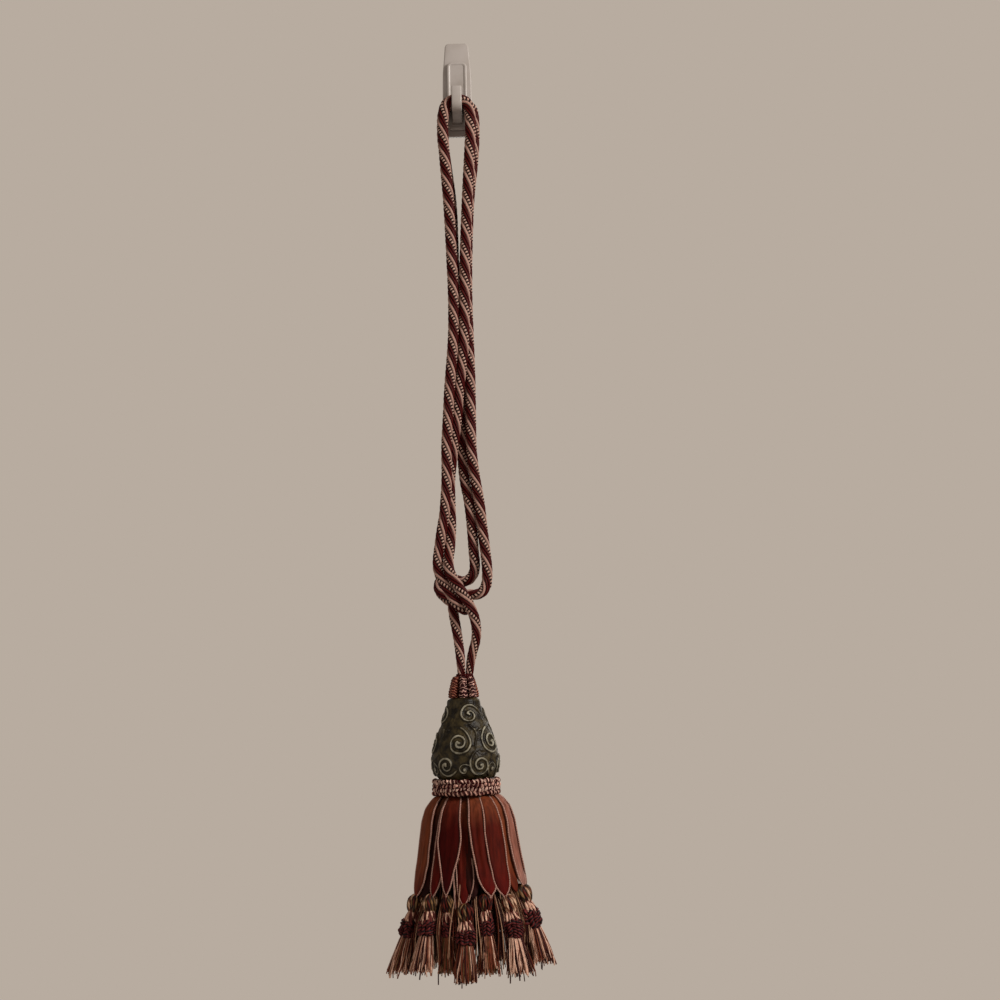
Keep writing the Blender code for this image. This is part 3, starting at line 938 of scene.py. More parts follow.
def bundle(name: str, runs: Iterable[Run], materials: Sequence[Material], sides: int = 6) -> Piece:
    """Joins many lengths of yarn into one mesh of closed tubes.

    Args:
        name: the piece's name.
        runs: the lengths of yarn.
        materials: what they wear, by each run's finish.
        sides: 4, 6 or 8 sides to a tube.

    Returns:
        The piece. The UV map runs from 0 to 1 along each tube and round it.
    """
    curve = bpy.data.curves.new(name, "CURVE")
    curve.dimensions = "3D"
    curve.bevel_depth = 1.0
    curve.bevel_resolution = sides // 2 - 2
    curve.use_fill_caps = True
    for material in materials:
        curve.materials.append(material)
    for run in runs:
        spline = curve.splines.new("POLY")
        spline.points.add(len(run.points) - 1)
        for i, (target, point) in enumerate(zip(spline.points, run.points)):
            target.co = (*point, 1.0)
            target.radius = run.radius * (1 + (run.taper - 1) * i / (len(run.points) - 1))
        spline.material_index = run.finish
    source = bpy.data.objects.new(name, curve)
    bpy.context.scene.collection.objects.link(source)
    mesh = worked_out(source)
    bm = bmesh.new()
    bm.from_mesh(mesh)
    bmesh.ops.remove_doubles(bm, verts=bm.verts, dist=1e-7)
    turn_outwards(bm)
    bm.to_mesh(mesh)
    bm.free()
    return new_piece(name, mesh, materials)


def join_meshes(name: str, parts: Iterable[BMesh], materials: Sequence[Material]) -> Piece:
    """Joins bmeshes into one piece. Their faces keep the material numbers that they have.

    Args:
        name: the piece's name.
        parts: the closed bmeshes, which are freed.
        materials: what they wear.

    Returns:
        The piece.
    """
    whole = bmesh.new()
    for part in parts:
        mesh = mesh_from(part, "part")
        whole.from_mesh(mesh)
        bpy.data.meshes.remove(mesh)
    return new_piece(name, mesh_from(whole, name), materials)


@dataclass
class TasselAxis:
    """Where the tassel hangs, and the oval that its skirt follows."""

    top: Vector = field(default_factory=lambda: Vector((-0.0009, -0.0443, -0.6000)))
    lean: float = 0.9
    pitch: float = 1.2
    front_share: float = 0.82
    back_reach: float = 0.0370

    def matrix(self) -> Matrix:
        """From the tassel's own axes, z up from the neck ruff's top, to the world."""
        turn = Euler((radians(-self.pitch), radians(-self.lean), 0.0))
        return Matrix.Translation(self.top) @ turn.to_matrix().to_4x4()

    def round(self, turn: float, radius: float, z: float) -> Vector:
        """A world point round the axis, turn in radians from the room side."""
        return self.matrix() @ Vector((radius * sin(turn), -radius * cos(turn), z))

    def oval(self, angle: float, reach: float, z: float = 0.0) -> Vector:
        """A point of the skirt's oval, in the tassel's own axes.

        Args:
            angle: degrees from the room side.
            reach: how far out it lies at the sides.
            z: its height.

        Returns:
            The point.
        """
        turn = radians(angle)
        depth = reach * self.front_share
        if cos(turn) < 0:
            depth = min(depth, self.back_reach)
        return Vector((reach * sin(turn), -depth * cos(turn), z))

    def on_oval(self, angle: float, reach: float, z: float) -> Vector:
        """A world point of the skirt's oval at a height."""
        return self.matrix() @ self.oval(angle, reach, z)

    def axes_at(self, angle: float, reach: float) -> tuple[Vector, Vector, Vector]:
        """The oval's own axes at an angle.

        Args:
            angle: degrees from the room side.
            reach: how far out it lies at the sides.

        Returns:
            The oval's point there, the way out of the skirt and the way along it.
        """
        chord = self.oval(angle + 1.0, reach) - self.oval(angle - 1.0, reach)
        out = Vector((chord.y, -chord.x, 0.0)).normalized()
        return self.oval(angle, reach), out, Vector((-out.y, out.x, 0.0))


@dataclass
class Hung:
    """A sub-assembly that hangs on the tassel's axis."""

    kit: Kit
    axis: TasselAxis


@dataclass
class WallHook:
    """The off-white hook: a tapered plate, a raised panel and an upturned arm."""

    kit: Kit
    thickness: float = 0.0040
    plate_widths: Span = (0.0238, 0.0304)
    plate_height: float = 0.100
    plate_flare: Rows = ((0.01300, 0.035), (0.01375, 0.027), (0.01450, 0.019), (0.01485, 0.003))
    plate_rounds: Span = (0.0042, 0.0012)
    panel_width: float = 0.0206
    panel_span: Span = (-0.0440, 0.0282)
    panel_face: float = 0.0081
    panel_rounds: Span = (0.0052, 0.0014)
    panel_steps: Rows = ((0.0012, 0.0), (0.0005, -0.0007), (0.0006, 0.0))
    arm_width: float = 0.0100
    arm_edge: float = 0.0009
    # The arm's side: distance from the wall, height and the radius of that corner.
    arm_outline: Rows = (
        (0.0061, -0.0251, 0.0),
        (0.0292, -0.0251, 0.0028),
        (0.0292, -0.0070, 0.00195),
        (0.0332, -0.0070, 0.00195),
        (0.0332, -0.0303, 0.0072),
        (0.0150, -0.0318, 0.006),
        (0.0061, -0.0400, 0.0),
    )
    white: Plastic = Plastic("hook_white", (181, 173, 168), (161, 151, 142))
    worn: Plastic = Plastic("hook_face", (178, 170, 165), (154, 144, 136), 0.42)

    def slab(
        self,
        widths: Span,
        span: Span,
        depths: Span,
        rounds: Span,
        flare: Rows = (),
    ) -> BMesh:
        """A tapered upright slab with rounded corners and an eased front edge.

        Args:
            widths: its widths at the top and at the bottom.
            span: its lowest and highest z.
            depths: how far from the wall its back and its front lie.
            rounds: the radii of its corners and of its front edge.
            flare: half widths and heights that its sides pass through, from the top down.

        Returns:
            The closed bmesh.
        """
        side = [(widths[0] / 2, span[1]), *flare, (widths[1] / 2, span[0])]
        rim = side + [(-x, z) for x, z in reversed(side)]
        back, front = depths
        bm = extruded([(x, -back, z) for x, z in rim], Vector((0, back - front, 0)))
        deep = [e for e in bm.edges if abs(e.verts[0].co.y - e.verts[1].co.y) > 1e-5]
        ends = [e for e in deep if min(abs(e.verts[0].co.z - z) for z in span) < CLOSE]
        ease(bm, ends, rounds[0], 8)
        rim = [e for e in bm.edges if all(v.co.y < -front + CLOSE for v in e.verts)]
        ease(bm, rim, rounds[1], 4)
        turn_outwards(bm)
        return bm

    def panel(self) -> BMesh:
        """The raised panel, with a shallow sunk face inside a rounded rim.

        Returns:
            The closed bmesh.
        """
        depths = (self.thickness + 0.0001, self.panel_face)
        bm = self.slab((self.panel_width,) * 2, self.panel_span, depths, self.panel_rounds)
        face = max((f for f in bm.faces if f.normal.y < -0.9), key=lambda f: f.calc_area())
        for thickness, depth in self.panel_steps:
            bmesh.ops.inset_region(bm, faces=[face], thickness=thickness, depth=depth)
        face.material_index = 1
        return bm

    def arm(self) -> BMesh:
        """The arm: it comes out of the panel and turns up at its tip.

        Returns:
            The closed bmesh.
        """
        rim = [(-self.arm_width / 2, -out, z) for out, z, _ in self.arm_outline]
        bm = extruded(rim, Vector((self.arm_width, 0, 0)))
        for out, z, radius in self.arm_outline[1:-1]:
            spot = Vector((-out, z))
            corner = [e for e in bm.edges if all((v.co.yz - spot).length < CLOSE for v in e.verts)]
            ease(bm, corner, radius, 6)
        rims = [e for e in bm.edges if abs(e.verts[0].co.x - e.verts[1].co.x) < CLOSE]
        ease(bm, rims, self.arm_edge, 3)
        turn_outwards(bm)
        return bm

    def build(self) -> None:
        """Builds the plate and the hook."""
        white, worn = self.kit.get(self.white, self.worn)
        span, depths = (-self.plate_height / 2, self.plate_height / 2), (0.0, self.thickness)
        plate = self.slab(self.plate_widths, span, depths, self.plate_rounds, self.plate_flare)
        wear(join_meshes("hook_plate_cover", [plate], [white]), "white_hook", "hook_plate")
        hook = join_meshes("hook_and_arm", [self.panel(), self.arm()], [white, worn])
        for face in hook.data.polygons:
            if abs(face.normal.x) > 0.5 or face.center.y < -self.panel_face - 0.0003:
                face.material_index = 0
        wear(hook, "white_hook", "hook")


@dataclass
class TwistedRope:
    """The one rope: out of the neck, through the knot, twice over the hook and back."""

    kit: Kit
    satin: RopeSatin = RopeSatin("rope_plies")
    lay: Lay = Lay(0.054, 0.42, Hand.S_LAID, 6, tuple(width / 2 for width in RopeSatin.plies * 2))
    spacing: float = 0.0022
    girths: Rows = (
        (-0.015, 0.00575), (-0.200, 0.00550), (-0.420, 0.00525), (-0.530, 0.00520),
        (-0.560, 0.00470), (-0.583, 0.00450), (-0.599, 0.00370),
    )
    route: Rows = ROUTE

    def girth(self, point: Vector) -> float:
        """The rope's radius at a point: it is drawn tighter towards the neck."""
        return table_value(self.girths, point.z, 1)

    def build(self) -> None:
        points = [Vector((x, -out, z)) / MILLIMETRES for x, out, z in self.route]
        line = smooth_line(points, self.spacing)
        bm = laid_cord(line, self.girth, self.lay)
        rope = new_piece("twisted_rope", mesh_from(bm, "twisted_rope"), self.kit.get(self.satin))
        wear(rope, "maroon_rope", "rope")
        distances(line)[-1]


@dataclass
class NeckRuff(Hung):
    """The ring of wound bulges at the head's top, with the binding round the strands."""

    bulges: int = 7
    pink: tuple[int, ...] = (0, 1, 3, 4)
    windings: int = 8
    # Height, the reach of a bulge's middle and its own radius there.
    outline: Rows = (
        (0.0004, 0.0080, 0.0022), (-0.0004, 0.0100, 0.0031), (-0.0030, 0.0117, 0.0036),
        (-0.0090, 0.0133, 0.0040), (-0.0150, 0.0149, 0.0043), (-0.0190, 0.0151, 0.0043),
        (-0.0206, 0.0141, 0.0036),
    )
    wound: tuple[CordSatin, ...] = (
        CordSatin("ruff_winding_rust", (158, 100, 78), (72, 18, 13), 9.0, 1.8, 0.36, 2.4, 1.6),
        CordSatin("ruff_winding_pink", (206, 160, 146), (48, 8, 10), 7.0, 1.4, 0.30, 2.8, 2.4),
    )
    pith: CordSatin = CordSatin("ruff_pith", (52, 8, 10), (24, 3, 4), 6.0, 8.0)
    binding: CordSatin = CordSatin("neck_binding", (116, 26, 26), (48, 7, 9), 30.0, 1.0)
    pith_radius: float = 0.0074
    pith_flare: float = 0.0022
    pith_top: float = -0.0004
    pith_height: float = 0.0196
    binding_turns: int = 3
    binding_points: int = 36
    binding_girth: float = 0.00115
    binding_radius: float = 0.0070
    binding_flare: float = 0.0007
    binding_top: float = 0.0014
    binding_step: float = 0.0016
    binding_lay: Lay = Lay(0.004, 0.2, Hand.S_LAID, 4)
    binding_shift: Vector = field(default_factory=lambda: Vector((0.0014, 0.0, 0.0)))

    def bulge(self, index: int) -> BMesh:
        """One wound bulge, a fat bent tube with a ridge for each turn of its winding.

        Args:
            index: which bulge, counted round from the room side.

        Returns:
            The closed bmesh.
        """
        turn = tau * index / self.bulges
        lean = 1.2 if index % 3 else -0.8

        def place(along: float, around: float) -> Vector:
            """A point of the bulge.

            Args:
                along: the share of the way down it.
                around: the share of the way round it.

            Returns:
                The point.
            """
            z = height_at(self.outline, along)
            way = tau * around
            full = table_value(self.outline, z, 2)
            full *= 0.92 + 0.20 * noise.noise(Vector((index, 9 * along, 2 * cos(way))))
            slant = lean * abs(2 * around - 1)
            ridge = abs(sin(pi * (self.windings * along + slant))) ** 0.7
            fat = full * (0.80 + 0.20 * ridge) * (0.4 if along in (0.0, 1.0) else 1.0)
            reach = table_value(self.outline, z, 1) - full + fat * cos(way)
            middle = self.axis.round(turn, reach, z)
            beside = (self.axis.round(turn + 0.01, reach, z) - middle).normalized()
            return middle + beside * (fat * sin(way))

        bm = wrapped_grid(self.windings * 8, 20, place)
        remap(bm, lambda u, v: (u, abs(2 * v - 1)))
        return bm

    def stuffing(self, along: float, around: float) -> Vector:
        """A point of the dark cone between the bulges."""
        radius = self.pith_radius + self.pith_flare * along
        return self.axis.round(tau * around, radius, self.pith_top - self.pith_height * along)

    def bound(self, row: int) -> BMesh:
        """One turn of the cord that binds the strands.

        Args:
            row: which turn, from the top down.

        Returns:
            The closed bmesh.
        """
        radius = self.binding_radius + self.binding_flare * row
        z = self.binding_top - self.binding_step * row
        turns = [tau * i / self.binding_points for i in range(self.binding_points)]
        ring = [self.axis.round(turn, radius, z) + self.binding_shift for turn in turns]
        return laid_cord(ring, lambda point: self.binding_girth, self.binding_lay, ring=True)

    def build(self) -> None:
        """Builds the bulges, the dark pith between them and the binding above them."""
        parts = [paint(self.bulge(i), int(i in self.pink)) for i in range(self.bulges)]
        parts += [paint(self.bound(row), 2) for row in range(self.binding_turns)]
        parts.append(paint(wrapped_grid(8, 24, self.stuffing), 3))
        materials = self.kit.get(*self.wound, self.binding, self.pith)
        ruff = join_meshes("neck_ruff_winding", parts, materials)
        wear(ruff, "striped_cord", "neck_ruff")


@dataclass(frozen=True)
class Scroll:
    """One raised scroll on the head: a spiral with a tail."""

    angle: float
    z: float
    radius: float
    turns: float
    start: float
    hand: int
    girth: float
    sweep: float
    flare: float = 0.45


@dataclass(frozen=True)
class ScrollRow:
    """A row of evenly set scrolls round the head."""

    z: float
    count: int
    first: float
    radius: float
    turns: float
    girth: float


@dataclass(frozen=True)
class Vine:
    """A raised stem between two places on the head, bowed to one side like an S."""

    angle: float
    z: float
    to_angle: float
    to_z: float
    bow: float
    girth: float


@dataclass
class CarvedHead(Hung):
    """The pear-shaped resin head with traditional raised scrolls."""

    resin: BronzedResin = BronzedResin("bronzed_scrollwork")
    grain: float = 0.00062
    ridge_height: float = 0.0017
    ridge_lift: float = 0.0005
    tail_sink: float = 0.0012
    eye_radius: float = 0.0016
    leaf_girth: float = 0.00105
    # The cast's roughness: depths and how many noise cells go to a metre.
    pits: Rows = ((0.00060, 110), (0.00026, 420))
    clear: Span = (-0.0945, -0.0225)
    outline: Rows = (
        (-0.0205, 0.0130), (-0.0211, 0.0145), (-0.0225, 0.0158), (-0.0285, 0.0163),
        (-0.0333, 0.0177), (-0.0396, 0.0200), (-0.0506, 0.0246), (-0.0570, 0.0270),
        (-0.0617, 0.0284), (-0.0670, 0.0298), (-0.0740, 0.0310), (-0.0800, 0.0313),
        (-0.0850, 0.0310), (-0.0900, 0.0294), (-0.0935, 0.0273), (-0.0955, 0.0256),
    )
    rows: tuple[ScrollRow, ...] = (
        ScrollRow(-0.0365, 4, 18.0, 0.0096, 1.35, 0.00118),
        ScrollRow(-0.0625, 5, -12.0, 0.0120, 1.75, 0.00124),
        ScrollRow(-0.0828, 6, 26.0, 0.0100, 1.65, 0.00120),
        ScrollRow(-0.0862, 6, -4.0, 0.0050, 1.10, 0.00100),
    )
    vines: tuple[Vine, ...] = tuple(
        vine
        for i in range(5)
        for vine in (
            Vine(72.0 * i + 12, -0.0455, 72.0 * i + 34, -0.0740, 0.0030, 0.00100),
            Vine(72.0 * i + 40, -0.0500, 72.0 * i + 22, -0.0600, -0.0022, 0.00085),
        )
    )
    leaves: Rows = (
        *((90.0 * i + 62, -0.0330 - 0.0030 * (i % 2), 1.1 + i) for i in range(4)),
        *((72.0 * i + 30, -0.0690, 0.5 + 1.3 * i) for i in range(5)),
    )
    lobes: Rows = ((-0.7, 0.0050), (0.0, 0.0072), (0.7, 0.0050))
    beads: Rows = tuple((72.0 * i + 24, -0.0500, 0.0012) for i in range(5))

    def scrolls(self) -> list[Scroll]:
        """The scrolls of every row, no two quite alike.

        Returns:
            The scrolls, from the top row down.
        """
        vary, scrolls = random.Random(21).uniform, []
        for row in self.rows:
            for i in range(row.count):
                angle = row.first + 360.0 * i / row.count + vary(-3.0, 3.0)
                z = row.z + vary(-0.0012, 0.0012)
                radius = row.radius * vary(0.92, 1.06)
                hand = 1 if (i + row.count) % 2 else -1
                start, sweep = vary(0, 360), vary(60, 110)
                scroll = Scroll(angle, z, radius, row.turns, start, hand, row.girth, sweep)
                scrolls.append(scroll)
        return scrolls

    def on_pear(self, angle: float, z: float, lift: float = 0.0) -> Vector:
        """A world point of the head's ground surface, or that far off it."""
        return self.axis.round(radians(angle), table_value(self.outline, z, 1) + lift, z)

    def near(self, angle: float, z: float, across: float, up: float, lift: float) -> Vector:
        """A point near a place on the head, by distances along its surface."""
        radius = table_value(self.outline, z, 1)
        return self.on_pear(angle + degrees(across / radius), z + up, lift)

    def inside(self, point: Vector) -> bool:
        """Whether a point keeps clear of the ruff above and the collar below."""
        return self.clear[0] < (self.axis.matrix().inverted() @ point).z < self.clear[1]

    def ridge(self, scroll: Scroll, steps: int = 36) -> list[Run]:
        """A scroll's ridge: it winds in to a bead and sweeps off in a tail.

        Args:
            scroll: the scroll.
            steps: how many straight bits it is made of.

        Returns:
            Its one run, or none where too little of it is clear.
        """
        points = []
        full = tau * scroll.turns
        whole = full + radians(scroll.sweep)
        for i in range(steps + 1):
            turned = whole * i / steps
            if turned < full:
                reach = scroll.radius * (0.16 + 0.84 * turned / full)
            else:
                tail = (turned - full) / (whole - full)
                reach = scroll.radius * (1 + scroll.flare * tail**1.3)
            turn = radians(scroll.start) + scroll.hand * turned
            across, up = reach * cos(turn), reach * sin(turn)
            sink = self.tail_sink * smooth(0.92, 1.0, i / steps)
            lift = self.ridge_lift - sink
            points.append(self.near(scroll.angle, scroll.z, across, up, lift))
        kept = [point for point in points if self.inside(point)]
        return [Run(kept, scroll.girth, 0, 0.94)] if len(kept) > 8 else []

    def stem(self, vine: Vine) -> list[Run]:
        """A vine's ridge, which starts fat and runs out thin.

        Args:
            vine: the vine.

        Returns:
            Its one run.
        """
        width = table_value(self.outline, vine.z, 1) * radians(vine.to_angle - vine.angle)
        along = Vector((width, vine.to_z - vine.z))
        beside = Vector((-along.y, along.x)).normalized()
        points = []
        for share in shares(14):
            spot = along * share + beside * vine.bow * sin(tau * share)
            lift = 0.0004 - 0.0006 * share * share
            points.append(self.near(vine.angle, vine.z, spot.x, spot.y, lift))
        return [Run([point for point in points if self.inside(point)], vine.girth, 0, 0.5)]

    def leaf(self, angle: float, z: float, lean: float) -> list[Run]:
        """A small three-lobed leaf in low relief.

        Args:
            angle: where its foot is, in degrees.
            z: the height of its foot.
            lean: which way it points, in radians.

        Returns:
            A run for each lobe.
        """
        runs = []
        for spread, reach in self.lobes:
            across, up = cos(lean + spread), sin(lean + spread)
            spots = [(reach * s * across, reach * s * up) for s in shares(4)]
            points = [self.near(angle, z, *spot, -0.0002) for spot in spots]
            clear = [point for point in points if self.inside(point)]
            runs.append(Run(clear or points, self.leaf_girth, 0, 0.35))
        return runs

    def ground(self, along: float, around: float) -> Vector:
        """A point of the plain pear under the carving."""
        return self.on_pear(360 * around, height_at(self.outline, along))

    def build(self) -> None:
        """Builds the head, melts the scrolls into it and marks the relief."""
        scrolls = self.scrolls()
        runs = [run for scroll in scrolls for run in self.ridge(scroll)]
        runs += [run for vine in self.vines for run in self.stem(vine)]
        runs += [run for leaf in self.leaves for run in self.leaf(*leaf)]
        resin = self.kit.get(self.resin)
        ridges = bundle("ridges", runs, resin, 8)
        whole = bmesh.new()
        whole.from_mesh(ridges.data)
        whole.from_mesh(mesh_from(wrapped_grid(60, 72, self.ground), "ground"))
        bpy.data.objects.remove(ridges, do_unlink=True)
        eyes = [(scroll.angle, scroll.z, self.eye_radius) for scroll in scrolls]
        for angle, z, radius in (*eyes, *self.beads):
            at = Matrix.Translation(self.near(angle, z, 0.0, 0.0, 0.0002))
            bmesh.ops.create_uvsphere(whole, u_segments=12, v_segments=8, radius=radius, matrix=at)
        head = new_piece("scrolled_head", mesh_from(whole, "scrolled_head"), resin)
        melt = head.modifiers.new("melt", "REMESH")
        melt.mode = "VOXEL"
        melt.voxel_size = self.grain
        mesh = worked_out(head)
        self.mark(mesh)
        wear(new_piece("scrolled_head", mesh, resin), "bronzed_resin", "head")

    def mark(self, mesh: Mesh) -> None:
        """Softens the melted mesh and writes how high each point stands off the ground.

        Args:
            mesh: the head's mesh, changed in place.
        """
        bm = bmesh.new()
        bm.from_mesh(mesh)
        axes = {"use_axis_x": True, "use_axis_y": True, "use_axis_z": True}
        bmesh.ops.smooth_vert(bm, verts=bm.verts, factor=0.5, **axes)
        turn_outwards(bm)
        layer = bm.verts.layers.float.new("relief")
        inverse = self.axis.matrix().inverted()
        bm.normal_update()
        for vert in bm.verts:
            local = inverse @ vert.co
            lift = hypot(local.x, local.y) - table_value(self.outline, local.z, 1)
            inside = self.outline[-1][0] + 0.001 < local.z < self.outline[0][0] - 0.001
            vert[layer] = max(0.0, min(1.0, lift / self.ridge_height)) if inside else 0.0
            rough = sum(depth * noise.noise(vert.co * cells) for depth, cells in self.pits)
            vert.co += vert.normal * rough
        bm.to_mesh(mesh)
        bm.free()


@dataclass
class BraidedCollar(Hung):
    """Four rows of two-coloured cord below the head, laid by turns the other way."""

    top: float = -0.0958
    row_height: float = 0.0036
    reach: float = 0.0298
    girth: float = 0.00215
    points: int = 420
    bends: int = 70
    sway: float = 0.0007
    uneven: float = 0.4
    pith_inset: float = 0.0008
    pith_drop: float = 0.0006
    lays: tuple[tuple[float, Hand], ...] = (
        (0.0041, Hand.Z_LAID),
        (0.0048, Hand.S_LAID),
        (0.0039, Hand.S_LAID),
        (0.0045, Hand.Z_LAID),
    )
    finishes: tuple[CordSatin, ...] = (
        CordSatin("braid_cream", (206, 168, 152), (62, 10, 11), 0.0, 1.0, 0.50, 2.4, 0.25),
        CordSatin("braid_pink", (190, 144, 128), (54, 8, 9), 0.0, 1.0, 0.46, 2.4, 0.25),
        CordSatin("collar_pith", (52, 8, 10), (24, 3, 4), 6.0, 8.0),
    )

    def thickness(self, point: Vector) -> float:
        """A cord's radius at a point, a little uneven."""
        return self.girth * (1 + self.uneven * noise.noise(point * 330))

    def backing(self, along: float, around: float) -> Vector:
        """A point of the dark band behind the rows."""
        z = self.top - self.pith_drop - (4.1 * self.row_height - self.pith_drop) * along
        return self.axis.round(tau * around, self.reach - self.pith_inset, z)

    def build(self) -> None:
        """Builds the four rows."""
        chance, rows = random.Random(11), []
        for row, (pitch, hand) in enumerate(self.lays):
            height = self.top - (row + 0.5) * self.row_height
            sway = [chance.uniform(-self.sway, self.sway) for _ in range(self.bends)]
            ring = []
            for i in range(self.points):
                bend = i * self.bends // self.points
                z = height + sway[(bend + 9) % self.bends]
                turn = tau * i / self.points
                ring.append(self.axis.round(turn, self.reach + sway[bend], z))
            lay = Lay(pitch, 0.5, hand, 8)
            rows.append(paint(laid_cord(ring, self.thickness, lay, ring=True), row % 2))
        rows.append(paint(wrapped_grid(4, 48, self.backing), 2))
        collar = join_meshes("braided_collar", rows, self.kit.get(*self.finishes))
        wear(collar, "pink_braid", "collar")


class Shingle(Enum):
    """How a petal's left and right edges lie against its neighbours': over them or under them."""

    RIGHT_OVER = (-1, 1)
    LEFT_OVER = (1, -1)
    OVER = (1, 1)
    UNDER = (-1, -1)
    LEVEL = (1, 0)
    FLAT = (0, 0)


@dataclass(frozen=True)
class PetalPlan:
    """One long petal. Angles are in degrees from the room side."""

    angle: float
    half_width: float
    tuck: float
    drop: float
    shingle: Shingle
    cloth: int
    pointed: float = 0.15
    slant: float = 0.0


PETALS = (
    PetalPlan(-70.0, 0.0128, 0.0, 0.0010, Shingle.OVER, 2, 0.05, 0.0),
    PetalPlan(-35.5, 0.0050, 0.0016, -0.0010, Shingle.LEVEL, 1, -0.10, -9.0),
    PetalPlan(-23.0, 0.0102, 0.0, -0.0032, Shingle.OVER, 0, 0.50, -1.0),
    PetalPlan(-6.0, 0.0066, 0.0060, 0.0070, Shingle.LEVEL, 1, 0.0, 0.0),
    PetalPlan(17.0, 0.0095, 0.0, -0.0010, Shingle.LEFT_OVER, 1, 0.10, 9.0),
    PetalPlan(34.8, 0.0090, 0.0, 0.0006, Shingle.LEVEL, 1, 0.0, 5.0),
    PetalPlan(71.5, 0.0098, 0.0, -0.0047, Shingle.LEFT_OVER, 3, 0.0, 0.0),
    PetalPlan(101.4, 0.0091, 0.0, -0.0030, Shingle.LEFT_OVER, 3),
    PetalPlan(131.2, 0.0102, 0.0, 0.0, Shingle.LEVEL, 1),
    PetalPlan(161.0, 0.0108, 0.0, 0.0, Shingle.RIGHT_OVER, 0),
    PetalPlan(-169.1, 0.0108, 0.0, 0.0, Shingle.UNDER, 1),
    PetalPlan(-139.2, 0.0102, 0.0, 0.0, Shingle.OVER, 2),
    PetalPlan(-105.0, 0.0100, 0.0, 0.0, Shingle.RIGHT_OVER, 2),
)
LININGS = (
    PetalPlan(-55.0, 0.0130, 0.0040, 0.0010, Shingle.FLAT, 4, 0.2),
    PetalPlan(55.0, 0.0100, 0.0026, -0.0010, Shingle.FLAT, 2, 0.3),
    PetalPlan(4.0, 0.0100, 0.0060, 0.0020, Shingle.FLAT, 4, 0.3),
)


@dataclass(frozen=True)
class Fold:
    """One fold down a petal: a soft rise or dip, and how it wanders."""

    where: float
    width: float
    depth: float
    phase: float

    def height(self, across: float, along: float) -> float:
        """How far it lifts the cloth at a place on the petal."""
        off = across - self.where - 0.25 * sin(3 * along + self.phase * 6)
        return self.depth * exp(-((off / self.width) ** 2))


